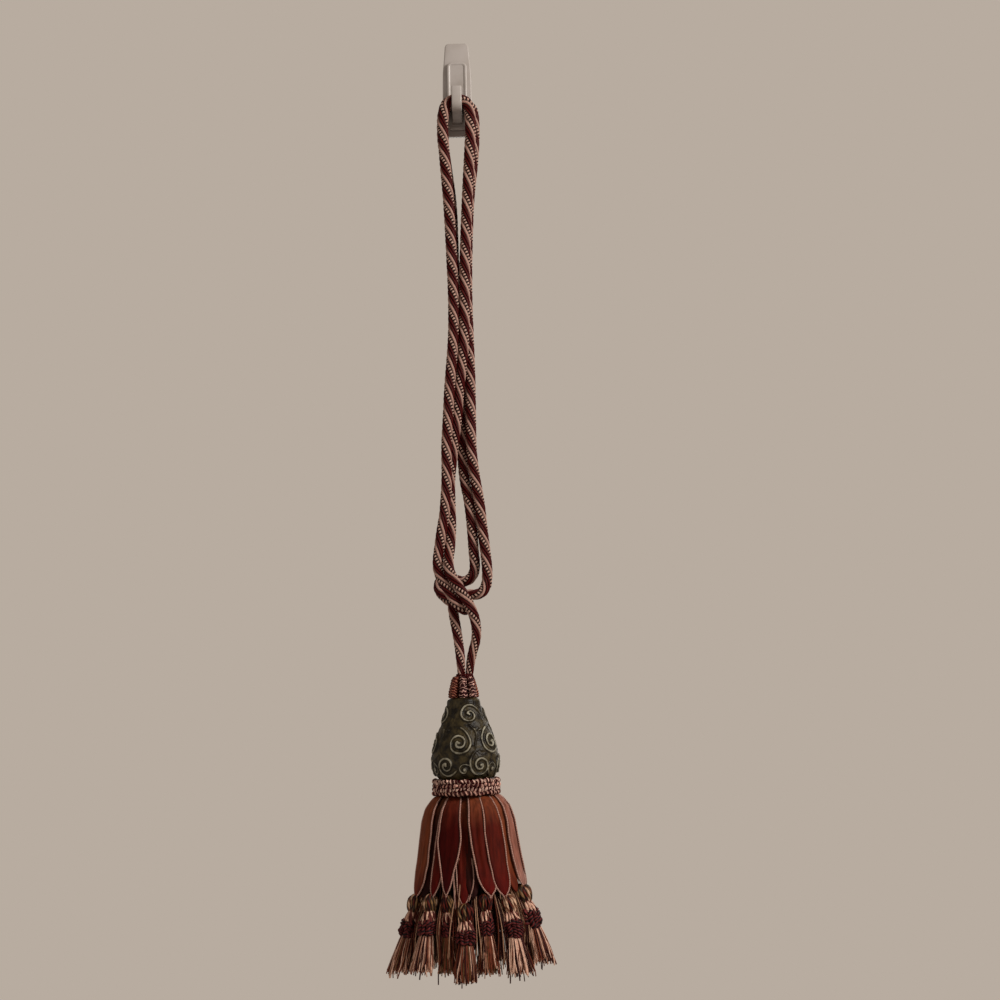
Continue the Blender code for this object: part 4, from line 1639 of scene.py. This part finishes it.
@dataclass
class Petal(Hung):
    """One long cloth petal, edged with a pink cord down both sides."""

    number: int
    plan: PetalPlan
    thickness: float = 0.0056
    under: float = 0.30
    cord_spacing: float = 0.0028
    cord_girth: float = 0.00072
    # Height, reach, then shares: of the width, of the thickness and of the tuck.
    sections: Rows = (
        (-0.1100, 0.0272, 0.52, 0.40, 1.0), (-0.1145, 0.0322, 0.66, 0.75, 1.0),
        (-0.1220, 0.0374, 0.82, 0.95, 1.0), (-0.1350, 0.0408, 0.97, 1.00, 1.0),
        (-0.1520, 0.0432, 1.06, 1.00, 1.0), (-0.1700, 0.0458, 1.05, 1.00, 1.0),
        (-0.1840, 0.0488, 0.96, 0.92, 0.9), (-0.1905, 0.0506, 0.80, 0.82, 0.7),
        (-0.1960, 0.0519, 0.52, 0.66, 0.5), (-0.1994, 0.0526, 0.14, 0.36, 0.35),
    )
    cloths: tuple[PetalCloth, ...] = (
        PetalCloth("burgundy_pile", (62, 4, 1), (90, 34, 20), (50, 2, 3), (190, 100, 80), 0.02),
        PetalCloth("russet_pile", (79, 19, 8), (108, 52, 30), (84, 9, 5), (196, 110, 86)),
        PetalCloth("rust_pile", (112, 54, 30), (118, 60, 36), (96, 34, 18), (200, 120, 94), 0.08),
        # Partly painted light: the rose cloth is rosier, and lighter still for the light that
        # falls on the right-hand petals that wear it.
        PetalCloth(
            "lit_rose_pile", (136, 85, 71), (134, 82, 66), (154, 108, 96), (214, 150, 134), 0.15
        ),
        PetalCloth("umber_lining", (50, 18, 12), (84, 46, 28), (36, 8, 7), (160, 90, 70)),
    )

    def __post_init__(self) -> None:
        """Draws the petal's folds."""
        chance = random.Random(40 + self.number)
        spans = ((-0.75, 0.75), (0.09, 0.20), (-0.30, 0.16), (0, 1))
        self.folds = [Fold(*(chance.uniform(*span) for span in spans)) for _ in range(6)]

    def point(self, across: float, out: float, along: float) -> Vector:
        """A world point of the petal.

        Args:
            across: from -1 at its left edge to 1 at its right edge.
            out: from -1 at its back to 1 at its crown.
            along: from 0 at the collar to 1 at its tip.

        Returns:
            The point.
        """
        plan, z = self.plan, height_at(self.sections, along)
        columns = (table_value(self.sections, z, column) for column in (1, 2, 3, 4))
        reach, width, thick, tucked = columns
        reach -= plan.tuck * tucked
        twist = plan.slant * (along - 0.5)
        middle, facing, side = self.axis.axes_at(plan.angle + twist, reach)
        width *= 1 - plan.pointed * smooth(0.42, 0.95, along)
        wavy = 1 + 0.03 * sin(11 * along + plan.angle)
        wavy += 0.015 * sin(23 * along + 2 * plan.angle + across)
        shift = plan.half_width * width * across * wavy
        edge = plan.shingle.value[1 if across > 0 else 0]
        fade = min(1.0, 4 * along) * (1 - smooth(0.72, 0.97, along))
        if edge < 0:
            shift *= 1 + self.under * abs(across) * fade
        lean = (0.0012 if edge > 0 else 0.0030) * edge * abs(across) ** 1.5 * fade
        lift = self.thickness / 2 * thick * out + lean - shift * shift / (2 * reach)
        height = Vector((0.0, 0.0, z - plan.drop * along))
        return self.axis.matrix() @ (middle + side * shift + facing * lift + height)

    def skin(self, along: float, around: float) -> Vector:
        """A point of its cloth, with the gathers at its head and the folds down it.

        Args:
            along: the share of the way down it.
            around: the share of the way round it, from its right edge.

        Returns:
            The point.
        """
        turn = tau * around
        across = copysign(abs(cos(turn)) ** 0.92, cos(turn))
        rise = sin(turn)
        out = copysign(abs(rise) ** 0.85, rise) * (1.0 if rise > 0 else 0.75)
        if rise > 0:
            fade = 1 - smooth(0.0, 0.35, along)
            gather = 0.16 * cos(14 * across + self.number) * fade
            crease = sum(fold.height(across, along) for fold in self.folds)
            out += rise * (gather + crease * (0.6 + 0.8 * sin(pi * along)))
        return self.point(across, out, along)

    def surface(self, name: str, *nodes: str) -> None:
        """Builds its cloth as a soft closed form.

        Args:
            name: the piece's name.
            *nodes: the solid that it replaces, if any.
        """
        mesh = mesh_from(wrapped_grid(40, 40, self.skin), "petal")
        petal = new_piece(name, mesh, self.kit.get(self.cloths[self.plan.cloth]))
        wear(petal, "russet_organza", *nodes)

    def edges(self) -> list[Run]:
        """The two cords down its sides, which meet below its tip.

        Returns:
            A run for each cord.
        """
        runs = []
        _, _, along = self.axis.axes_at(self.plan.angle, 0.05)
        for side in (-1, 1):
            points = [self.point(side * 1.02, 0.42, 0.02 + 0.95 * i / 30) for i in range(31)]
            foot = self.point(side * 0.9, 0.3, 1.0)
            points += [foot, foot + Vector((0.0, 0.0, -0.0035)) - along * side * 0.0006]
            runs.append(Run(smooth_line(points, self.cord_spacing), self.cord_girth))
        return runs


@dataclass
class PetalRing(Hung):
    """All the petals, their linings and the cords that edge them or hang loose."""

    piping: CordSatin = CordSatin(
        "petal_piping", (192, 150, 136), (140, 98, 86), 60.0, 1.0, 0.6
    )
    loose_girth: float = 0.00066
    # Cords that hang loose: angle, reach and height of the points that each passes.
    loose_cords: tuple[Rows, ...] = (
        (
            (4.0, 0.0420, -0.166), (5.4, 0.0455, -0.180),
            (4.2, 0.0485, -0.190), (-1.0, 0.0510, -0.2035),
        ),
        (
            (-19.5, 0.0420, -0.166), (-17.5, 0.0470, -0.178),
            (-16.0, 0.0500, -0.192), (-15.0, 0.0510, -0.2100),
        ),
    )

    def build(self) -> None:
        """Builds every petal and the cords."""
        runs = []
        for number, plan in enumerate(PETALS, 1):
            petal = Petal(self.kit, self.axis, number, plan)
            petal.surface(f"petal_cloth_{number:02d}", f"petal_{number:02d}")
            runs += petal.edges()
        for number, plan in enumerate(LININGS, 1):
            lining = Petal(self.kit, self.axis, len(PETALS) + number, plan)
            lining.surface(f"petal_lining_{number}")
        for line in self.loose_cords:
            points = [self.axis.on_oval(*spot) for spot in line]
            runs.append(Run(smooth_line(points, Petal.cord_spacing), self.loose_girth))
        wear(bundle("petal_cords", runs, self.kit.get(self.piping)), "pink_braid")


@dataclass
class BullionCore(Hung):
    """The dark cords in the middle of the skirt and the loose ends that hang below them."""

    chance: random.Random = field(default_factory=lambda: random.Random(7))
    cords: int = 44
    outline: Rows = (
        (-0.1105, 0.0150), (-0.1170, 0.0195), (-0.1300, 0.0250), (-0.1500, 0.0290),
        (-0.1750, 0.0325), (-0.1980, 0.0350), (-0.2150, 0.0355), (-0.2330, 0.0310),
    )
    strands: int = 260
    rib_depth: float = 0.0012
    strand_top: float = -0.1900
    strand_reach: Span = (0.0330, 0.0385)
    strand_fall: Span = (0.2520, 0.2650)
    strand_girth: Span = (0.00045, 0.0007)
    stray_top: float = -0.1660
    stray_reach: Span = (0.0385, 0.0420)
    stray_fall: Span = (0.2440, 0.2640)
    stray_girth: Span = (0.00042, 0.0006)
    # Places where more ends hang out: the angle, half its spread and how many there are.
    stragglers: tuple[tuple[float, float, int], ...] = (
        (58.0, 5.0, 44), (29.0, 3.0, 10), (88.0, 3.0, 8), (-13.0, 2.5, 10), (-33.0, 2.5, 5),
        (5.0, 2.5, 5), (-62.0, 3.0, 6), (117.0, 5.0, 12), (-120.0, 6.0, 16), (176.0, 4.0, 6),
    )
    dark: CordSatin = CordSatin("core_bullion", (56, 16, 13), (22, 5, 6), 26.0, 44.0, 0.5)
    yarns: tuple[Thread, ...] = (
        Thread("inner_maroon", (44, 10, 9)),
        Thread("inner_rust", (84, 38, 22)),
        Thread("inner_olive", (70, 52, 28)),
        Thread("inner_cream", (164, 124, 98)),
    )

    def skin(self, along: float, around: float) -> Vector:
        """A point of the core's ribbed surface.

        Args:
            along: the share of the way down it.
            around: the share of the way round it.

        Returns:
            The point.
        """
        z = height_at(self.outline, along)
        across = 2 * ((around * self.cords) % 1.0) - 1
        radius = table_value(self.outline, z, 1) - self.rib_depth * across * across
        return self.axis.on_oval(360 * around, radius, z)

    def strand(self, i: int) -> Run:
        """One end of the ring that hangs below the core.

        Args:
            i: its number round the ring.

        Returns:
            The run.
        """
        vary = self.chance.uniform
        angle = 360 * (i + vary(-0.4, 0.4)) / self.strands
        reach = vary(*self.strand_reach)
        end = -vary(*self.strand_fall) - (0.0085 if i % 23 == 5 else 0.0)
        sway = vary(-3.5, 3.5)
        points = []
        for s in shares(4):
            z = self.strand_top + (end - self.strand_top) * s
            points.append(self.axis.on_oval(angle + sway * s * s, reach + 0.0065 * s, z))
        weights = (46, 22, 10, 40) if 40 < angle < 110 else (60, 20, 10, 10)
        girth = vary(*self.strand_girth)
        return Run(points, girth, self.chance.choices((0, 1, 2, 3), weights)[0])

    def straggler(self, angle: float, spread: float) -> Run:
        """One waved end that hangs out between the petals.

        Args:
            angle: the middle of its group.
            spread: half the angle that the group takes.

        Returns:
            The run.
        """
        vary = self.chance.uniform
        start, sway = angle + vary(-spread, spread), vary(-6.0, 7.0)
        reach, phase = vary(*self.stray_reach), vary(0.0, 6.28)
        swing, end = vary(0.5, 1.8), -vary(*self.stray_fall)
        points = []
        for s in shares(12):
            stands = reach + 0.0190 * smooth(0.1, 0.8, s) + 0.0010 * sin(phase + 4 * s)
            way = start + sway * s + swing * s * sin(phase + 7 * s)
            z = self.stray_top + (end - self.stray_top) * s
            points.append(self.axis.on_oval(way, stands, z))
        girth = vary(*self.stray_girth)
        return Run(points, girth, self.chance.choices((0, 1, 3), (14, 26, 60))[0])

    def build(self) -> None:
        """Builds the core's cords and the hanging ends."""
        core = wrapped_grid(40, self.cords * 5, self.skin)
        dark = self.kit.get(self.dark)
        wear(join_meshes("bullion_core", [core], dark), "dark_bullion", "skirt_core")
        runs = [self.strand(i) for i in range(self.strands)]
        for angle, spread, count in self.stragglers:
            runs += [self.straggler(angle, spread) for _ in range(count)]
        strands = bundle("inner_strands", runs, self.kit.get(*self.yarns), 4)
        wear(strands, "dark_bullion")


class Mood(Enum):
    """How light a small tassel's yarns are: shares of its loops' colours, then of its fringe's."""

    BRIGHT = ((4, 4, 3), (42, 14, 14, 8, 22))
    MIXED = ((4, 4, 3), (25, 13, 22, 10, 30))
    RUDDY = ((1, 2, 7), (19, 8, 33, 9, 31))
    # Painted shade: the last mood gives darker yarns to the tassels that hang deeper between the
    # petals, where shade falls.
    SHADED = ((0, 2, 7), (12, 16, 22, 20, 30))


@dataclass(frozen=True)
class TasselPlan:
    """One small tassel: where it hangs, its size and how its ruff and fringe are built."""

    angle: float
    size: float
    swing: float
    drop: float
    mood: Mood = Mood.MIXED
    flare: float = 0.12
    short: float = 0.0


TASSELS = (
    TasselPlan(-76.0, 1.20, 1.15, 0.0010, Mood.MIXED, 0.10),
    TasselPlan(-44.5, 1.00, 0.95, -0.0010, Mood.BRIGHT, 0.06, 0.0030),
    TasselPlan(-24.0, 0.82, 0.00, 0.0, Mood.SHADED, 0.10, 0.0020),
    TasselPlan(-4.5, 1.00, 1.00, 0.0070, Mood.RUDDY, -0.18, 0.0036),
    TasselPlan(16.5, 0.84, 0.20, -0.0010, Mood.SHADED, 0.10),
    TasselPlan(43.5, 1.04, 0.90, 0.0015, Mood.BRIGHT, 0.06),
    TasselPlan(71.5, 1.26, 1.05, -0.0047, Mood.BRIGHT, 0.02),
    TasselPlan(101.4, 0.90, 0.60, -0.0030, Mood.BRIGHT),
    TasselPlan(131.2, 0.90, 0.60, 0.0, Mood.MIXED),
    TasselPlan(161.0, 0.90, 0.60, 0.0, Mood.RUDDY),
    TasselPlan(-169.1, 0.90, 0.60, 0.0, Mood.MIXED),
    TasselPlan(-139.2, 0.90, 0.60, 0.0, Mood.BRIGHT),
    TasselPlan(-109.4, 0.90, 0.60, 0.0, Mood.RUDDY),
)


@dataclass
class SmallTassel(Hung):
    """A small tassel: plump loops, a bell of cords, a tight ruff and a cut fringe."""

    number: int
    plan: TasselPlan
    chance: random.Random = field(default_factory=random.Random)
    tip: float = -0.1985
    ruff_top: float = -0.0151
    ruff_foot: float = -0.0362
    fringe_top: float = -0.0326
    fringe_foot: float = -0.0668
    loop_girth: Span = (0.00115, 0.0019)
    bell_girth: Span = (0.00105, 0.00135)
    knot_girth: Span = (0.0020, 0.0027)
    knot_pitch: Span = (0.0040, 0.0066)
    yarn_girth: Span = (0.00042, 0.00070)
    rim_share: float = 0.62
    loose_share: float = 0.12
    stray_share: float = 0.008
    # Each table: height, the reach of the middle, how far it swings out, half width and depth.
    turban: Rows = (
        (-0.0003, 0.0485, 0.0020, 0.0044, 0.0040), (-0.0036, 0.0486, 0.0024, 0.0072, 0.0064),
        (-0.0080, 0.0487, 0.0030, 0.0078, 0.0068), (-0.0120, 0.0488, 0.0036, 0.0070, 0.0062),
        (-0.0148, 0.0488, 0.0040, 0.0050, 0.0046),
    )
    ruff: Rows = (
        (-0.0151, 0.0488, 0.0040, 0.0054, 0.0050), (-0.0200, 0.0490, 0.0050, 0.0074, 0.0066),
        (-0.0250, 0.0491, 0.0062, 0.0090, 0.0080), (-0.0305, 0.0492, 0.0076, 0.0092, 0.0082),
        (-0.0345, 0.0493, 0.0088, 0.0082, 0.0074), (-0.0362, 0.0493, 0.0092, 0.0060, 0.0056),
    )
    fringe: Rows = (
        (-0.0320, 0.0493, 0.0080, 0.0058, 0.0054), (-0.0430, 0.0496, 0.0106, 0.0084, 0.0072),
        (-0.0560, 0.0500, 0.0136, 0.0110, 0.0084), (-0.0680, 0.0502, 0.0166, 0.0124, 0.0090),
    )
    loops: int = 14
    bells: int = 7
    knots: int = 11
    threads: int = 150
    # One leg of a bell's cord: its share of the ruff's width, and height.
    bell_leg: Rows = (
        (0.86, -0.0252), (0.98, -0.0222), (1.02, -0.0190), (1.02, -0.0162), (0.90, -0.0142),
    )
    loop_yarns: tuple[CordSatin, ...] = (
        CordSatin("loop_cream", (204, 166, 138), (112, 70, 50), 2.2, 2.0, 0.6, 1.8),
        CordSatin("loop_olive", (122, 90, 58), (44, 28, 15), 2.2, 2.0, 0.5, 1.8),
        CordSatin("loop_rust", (92, 30, 20), (32, 7, 6), 2.2, 2.0, 0.5, 1.8),
    )
    blush: CordSatin = CordSatin("bell_blush", (206, 162, 140), (88, 36, 30), 1.6, 1.0, 0.56, 2.1)
    plum: CordSatin = CordSatin("ruff_plum", (92, 32, 31), (22, 4, 5), 0.0, 2.0, 0.60, 3.0)
    dark: CordSatin = CordSatin("tassel_pith", (38, 8, 8), (20, 3, 4), 4.0, 6.0)
    fringe_yarns: tuple[Thread, ...] = (
        Thread("fringe_cream", (216, 174, 152)),
        Thread("fringe_beige", (158, 110, 88)),
        Thread("fringe_rust", (112, 54, 34)),
        Thread("fringe_olive", (88, 62, 36)),
        Thread("fringe_maroon", (54, 14, 11)),
    )

    def point(self, rows: Rows, z: float, turn: float, share: float, inset: float = 0.0) -> Vector:
        """A world point of the tassel.

        Args:
            rows: the sections of one of its pieces.
            z: how far below the petal's tip.
            turn: the angle round the piece; a quarter turn faces out of the skirt.
            share: from 0 in its middle to 1 at its rim.
            inset: how far inside that point, in metres.

        Returns:
            The point.
        """
        plan = self.plan
        reach, out, width, depth = (table_value(rows, z, column) for column in (1, 2, 3, 4))
        middle, facing, side = self.axis.axes_at(plan.angle, reach + out * plan.swing)
        across = (width * plan.size * share - inset) * cos(turn)
        forward = (depth * plan.size * share - inset) * sin(turn)
        height = Vector((0.0, 0.0, self.tip - plan.drop + z))
        return self.axis.matrix() @ (middle + side * across + facing * forward + height)

    def pith(self, rows: Rows, top: float, bottom: float, share: float) -> BMesh:
        """The dark stuffing inside the loops or the ruff.

        Args:
            rows: the sections of what it fills.
            top: its highest z.
            bottom: its lowest z.
            share: how much of the width it fills.

        Returns:
            The closed bmesh, in the second material slot.
        """

        def place(along: float, around: float) -> Vector:
            """A point of the stuffing, from its shares."""
            return self.point(rows, top + (bottom - top) * along, tau * around, share)

        return paint(wrapped_grid(6, 10, place), 1)

    def crown(self) -> None:
        """The plump loops at the top."""
        self.chance.seed(100 + self.number)
        vary, rows, runs = self.chance.uniform, self.turban, []
        for i in range(self.loops):
            turn = tau * (i + 0.5) / self.loops + vary(-0.14, 0.14)
            fat = vary(*self.loop_girth) * self.plan.size
            sit, tilt, high = vary(0.82, 1.12), vary(-0.6, 0.6), vary(0.0, 0.0026)
            points = [self.point(rows, -0.0006, turn, 0.2)]
            for share in (0.0, 0.15, 0.3, 0.5, 0.7, 0.85, 1.0):
                z = -0.0010 - high - (0.0132 - high) * share
                way = turn + tilt * (z / -0.0142 - 0.5)
                points.append(self.point(rows, z, way, sit, fat * 0.9))
            points.append(self.point(rows, -0.0146, turn, 0.3))
            yarn = self.chance.choices((0, 1, 2), self.plan.mood.value[0])[0]
            runs.append(Run(smooth_line(points, 0.0016), fat, yarn))
        loops = bundle(f"loops_{self.number:02d}", runs, self.kit.get(*self.loop_yarns), 8)
        wear(loops, "cream_loops", f"turban_{self.number:02d}")

    def bell_cord(self, i: int) -> Run:
        """One arched cord of the bell.

        Args:
            i: its number round the bell.

        Returns:
            The run.
        """
        vary = self.chance.uniform
        turn = tau * (i + 0.25) / self.bells + vary(-0.08, 0.08)
        half, high = pi / self.bells * vary(0.45, 0.72), vary(0.0, 0.0014)
        spots = [(turn - half, share, z) for share, z in self.bell_leg]
        spots.append((turn, 0.86, -0.0132 - high))
        spots += [(turn + half, share, z) for share, z in reversed(self.bell_leg)]
        points = []
        for way, share, z in spots:
            at = self.point(self.ruff, min(z, self.ruff_top), way, share, 0.0011)
            points.append(at + Vector((0.0, 0.0, max(0.0, z - self.ruff_top))))
        return Run(smooth_line(points, 0.0010), vary(*self.bell_girth) * self.plan.size)

    def knot(self, i: int, foot: float) -> BMesh:
        """One knotted cord of the ruff.

        Args:
            i: its number round the ruff.
            foot: the height of the ruff's foot.

        Returns:
            The closed bmesh.
        """
        vary = self.chance.uniform
        turn = tau * (i + 0.5) / self.knots + vary(-0.05, 0.05)
        top = self.ruff_top - 0.0075 - vary(0.0, 0.0016)
        points = [self.point(self.ruff, top - 0.0006, turn, 0.45)]
        for s in shares(5):
            z, way = top + (foot - top) * s, turn + vary(-0.09, 0.09)
            points.append(self.point(self.ruff, z, way, 1.0, 0.0017))
        points.append(self.point(self.ruff, foot, turn, 0.45))
        size = vary(*self.knot_girth) * self.plan.size
        hand = Hand.S_LAID if self.chance.random() < 0.5 else Hand.Z_LAID
        lump, pitch = vary(0, 6.28), vary(*self.knot_pitch)

        def girth(point: Vector) -> float:
            """The cord's radius, which swells and thins down it."""
            return size * (1 + 0.20 * sin(900 * point.z + lump))

        return laid_cord(smooth_line(points, 0.0008), girth, Lay(pitch, 0.44, hand))

    def knot_ring(self) -> None:
        """The bell of pale cords and the tight ruff of knotted ones below it."""
        self.chance.seed(300 + self.number)
        foot = self.ruff_foot + self.plan.short
        runs = [self.bell_cord(i) for i in range(self.bells)]
        bell = bundle(f"bell_{self.number:02d}", runs, self.kit.get(self.blush), 8)
        parts = [self.pith(self.turban, -0.0012, -0.0146, 0.62)]
        parts.append(self.pith(self.ruff, -0.0148, foot, 0.66))
        parts += [self.knot(i, foot) for i in range(self.knots)]
        materials = self.kit.get(self.plum, self.dark)
        knots = join_meshes(f"ruff_knots_{self.number:02d}", parts, materials)
        wear(knots, "plum_ruff", f"ruff_{self.number:02d}")
        wear(bell, "plum_ruff")

    def yarn(self, i: int) -> Run:
        """One yarn of the fringe: at its rim or inside it, now and then a loose one.

        Args:
            i: its number; the first ones hang at the rim.

        Returns:
            The run.
        """
        plan, chance, vary = self.plan, self.chance, self.chance.uniform
        outer = round(self.threads * self.rim_share)
        rim = i < outer
        turn = tau * (i / outer if rim else chance.random()) + vary(-0.05, 0.05)
        share = vary(0.84, 1.0) if rim else sqrt(vary(0.02, 0.66))
        loose, stray = chance.random() < self.loose_share, chance.random() < self.stray_share
        end = self.fringe_foot + 0.7 * plan.short + vary(-0.0034, 0.0034)
        end -= 0.009 if stray else 0.002 if loose else 0.0
        drift = vary(-0.16, 0.16) * (3.5 if loose else 1)
        wave, beat, phase = vary(0.02, 0.09) * (2 if loose else 1), vary(4.0, 9.0), vary(0, 6.28)
        flare = plan.flare + (0.15 if loose else 0.0)
        points = []
        for s in shares(8):
            z = self.fringe_top + (end - self.fringe_top) * s
            spread = share * (1 + flare * s * s) + 0.6 * wave * s * sin(phase + beat * s)
            way = turn + drift * s * s + wave * s * cos(1.7 * phase + beat * s)
            points.append(self.point(self.fringe, z, way, spread * (1.0 if s else 0.9), 0.0004))
        girth, colours = vary(*self.yarn_girth), range(len(self.fringe_yarns))
        colour = colours[-1] if stray else chance.choices(colours, plan.mood.value[1])[0]
        return Run(points, girth, colour)

    def skirt(self) -> None:
        """The cut fringe: a comb of waved yarns of five colours, a few of them loose."""
        self.chance.seed(500 + self.number)
        runs = [self.yarn(i) for i in range(self.threads)]
        name = f"fringe_yarns_{self.number:02d}"
        piece = bundle(name, runs, self.kit.get(*self.fringe_yarns), 4)
        wear(piece, "mixed_fringe", f"fringe_{self.number:02d}")

    def build(self) -> None:
        """Builds it from the top down."""
        self.crown()
        self.knot_ring()
        self.skirt()


@dataclass
class Studio:
    """The pale floor, the soft lights and the camera."""

    kit: Kit
    eye: Vector = field(default_factory=lambda: Vector((0.0364, -1.45, -0.604)))
    aim: Vector = field(default_factory=lambda: Vector((0.0, -0.03, -0.45)))
    pitch: float = 7.0
    roll: float = 1.05
    lens: float = 52.74
    wall_colour: Shown = (184, 172, 160)
    wall_glow: float = 0.62
    floor_radius: float = 0.42
    floor_height: float = -1.02
    paint: FloorPaint = FloorPaint()

    def camera(self) -> None:
        """Makes the camera and makes it the scene's own."""
        rise, tip = radians(self.pitch), radians(self.roll)
        forward = Vector((0.0, cos(rise), sin(rise)))
        plain_up = Vector((0.0, -sin(rise), cos(rise)))
        right = Vector((1.0, 0.0, 0.0)) * cos(tip) - plain_up * sin(tip)
        up = Vector((1.0, 0.0, 0.0)) * sin(tip) + plain_up * cos(tip)
        data = bpy.data.cameras.new("room_camera")
        data.lens = self.lens
        data.sensor_width = 36.0
        data.clip_start = 0.01
        camera = bpy.data.objects.new("room_camera", data)
        turn = Matrix((right, up, -forward)).transposed().to_4x4()
        camera.matrix_world = Matrix.Translation(self.eye) @ turn
        bpy.context.scene.collection.objects.link(camera)
        bpy.context.scene.camera = camera

    def light(self, name: str, place: Vector, size: float, power: float, colour: tuple) -> None:
        """Adds a soft square light that faces the middle of the part.

        Args:
            name: the light's name.
            place: where it stands.
            size: its side in metres.
            power: its power in watts.
            colour: its linear colour.
        """
        data = bpy.data.lights.new(name, "AREA")
        data.shape = "SQUARE"
        data.size = size
        data.energy = power
        data.color = colour
        lamp = bpy.data.objects.new(name, data)
        turn = (self.aim - place).to_track_quat("-Z", "Y").to_matrix().to_4x4()
        lamp.matrix_world = Matrix.Translation(place) @ turn
        bpy.context.scene.collection.objects.link(lamp)

    def room(self) -> None:
        """Makes the pale surroundings, dimmer as light than as they are seen."""
        world = bpy.data.worlds.new("pale_room")
        world.use_nodes = True
        tree = world.node_tree
        seen, lit = tree.nodes["Background"], tree.nodes.new("ShaderNodeBackground")
        mixed = tree.nodes.new("ShaderNodeMixShader")
        path = tree.nodes.new("ShaderNodeLightPath")
        for shader, strength in ((seen, 1.0), (lit, self.wall_glow)):
            shader.inputs[0].default_value = tint(self.wall_colour)
            shader.inputs[1].default_value = strength
        sources = (path.outputs["Is Camera Ray"], lit.outputs[0], seen.outputs[0])
        for source, target in zip(sources, mixed.inputs):
            tree.links.new(source, target)
        tree.links.new(mixed.outputs[0], tree.nodes["World Output"].inputs[0])
        bpy.context.scene.world = world
        bpy.context.scene.view_settings.view_transform = "Standard"

    def build(self) -> None:
        """Builds the whole setting."""
        self.camera()
        bm = bmesh.new()
        bmesh.ops.create_circle(bm, cap_ends=True, segments=64, radius=self.floor_radius)
        bmesh.ops.translate(bm, verts=bm.verts, vec=(0.0, 0.0, self.floor_height))
        floor = new_piece("pale_floor", mesh_from(bm, "pale_floor"), self.kit.get(self.paint))
        self.room()
        self.light("window_light", Vector((1.40, -0.95, 0.35)), 0.6, 30.0, (1.0, 0.965, 0.92))
        self.light("room_fill", Vector((-1.3, -1.3, -0.4)), 1.2, 3.0, (1.0, 0.96, 0.92))
        self.light("back_fill", Vector((0.5, 1.4, -0.2)), 1.2, 7.0, (1.0, 0.98, 0.95))


def main() -> None:
    """Builds the whole dressed part."""
    logging.basicConfig(level=logging.INFO, format="%(name)s: %(message)s")
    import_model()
    kit, axis = Kit(), TasselAxis()
    head_axis = TasselAxis(axis.top + Vector((-0.0010, 0.0, 0.0)))
    core_axis = TasselAxis(back_reach=0.0320)
    Studio(kit).build()
    TwistedRope(kit).build()
    WallHook(kit).build()
    NeckRuff(kit, head_axis).build()
    CarvedHead(kit, head_axis).build()
    BraidedCollar(kit, head_axis).build()
    BullionCore(kit, core_axis).build()
    PetalRing(kit, axis).build()
    for number, plan in enumerate(TASSELS, 1):
        SmallTassel(kit, axis, number, plan).build()


if __name__ == "__main__":
    main()
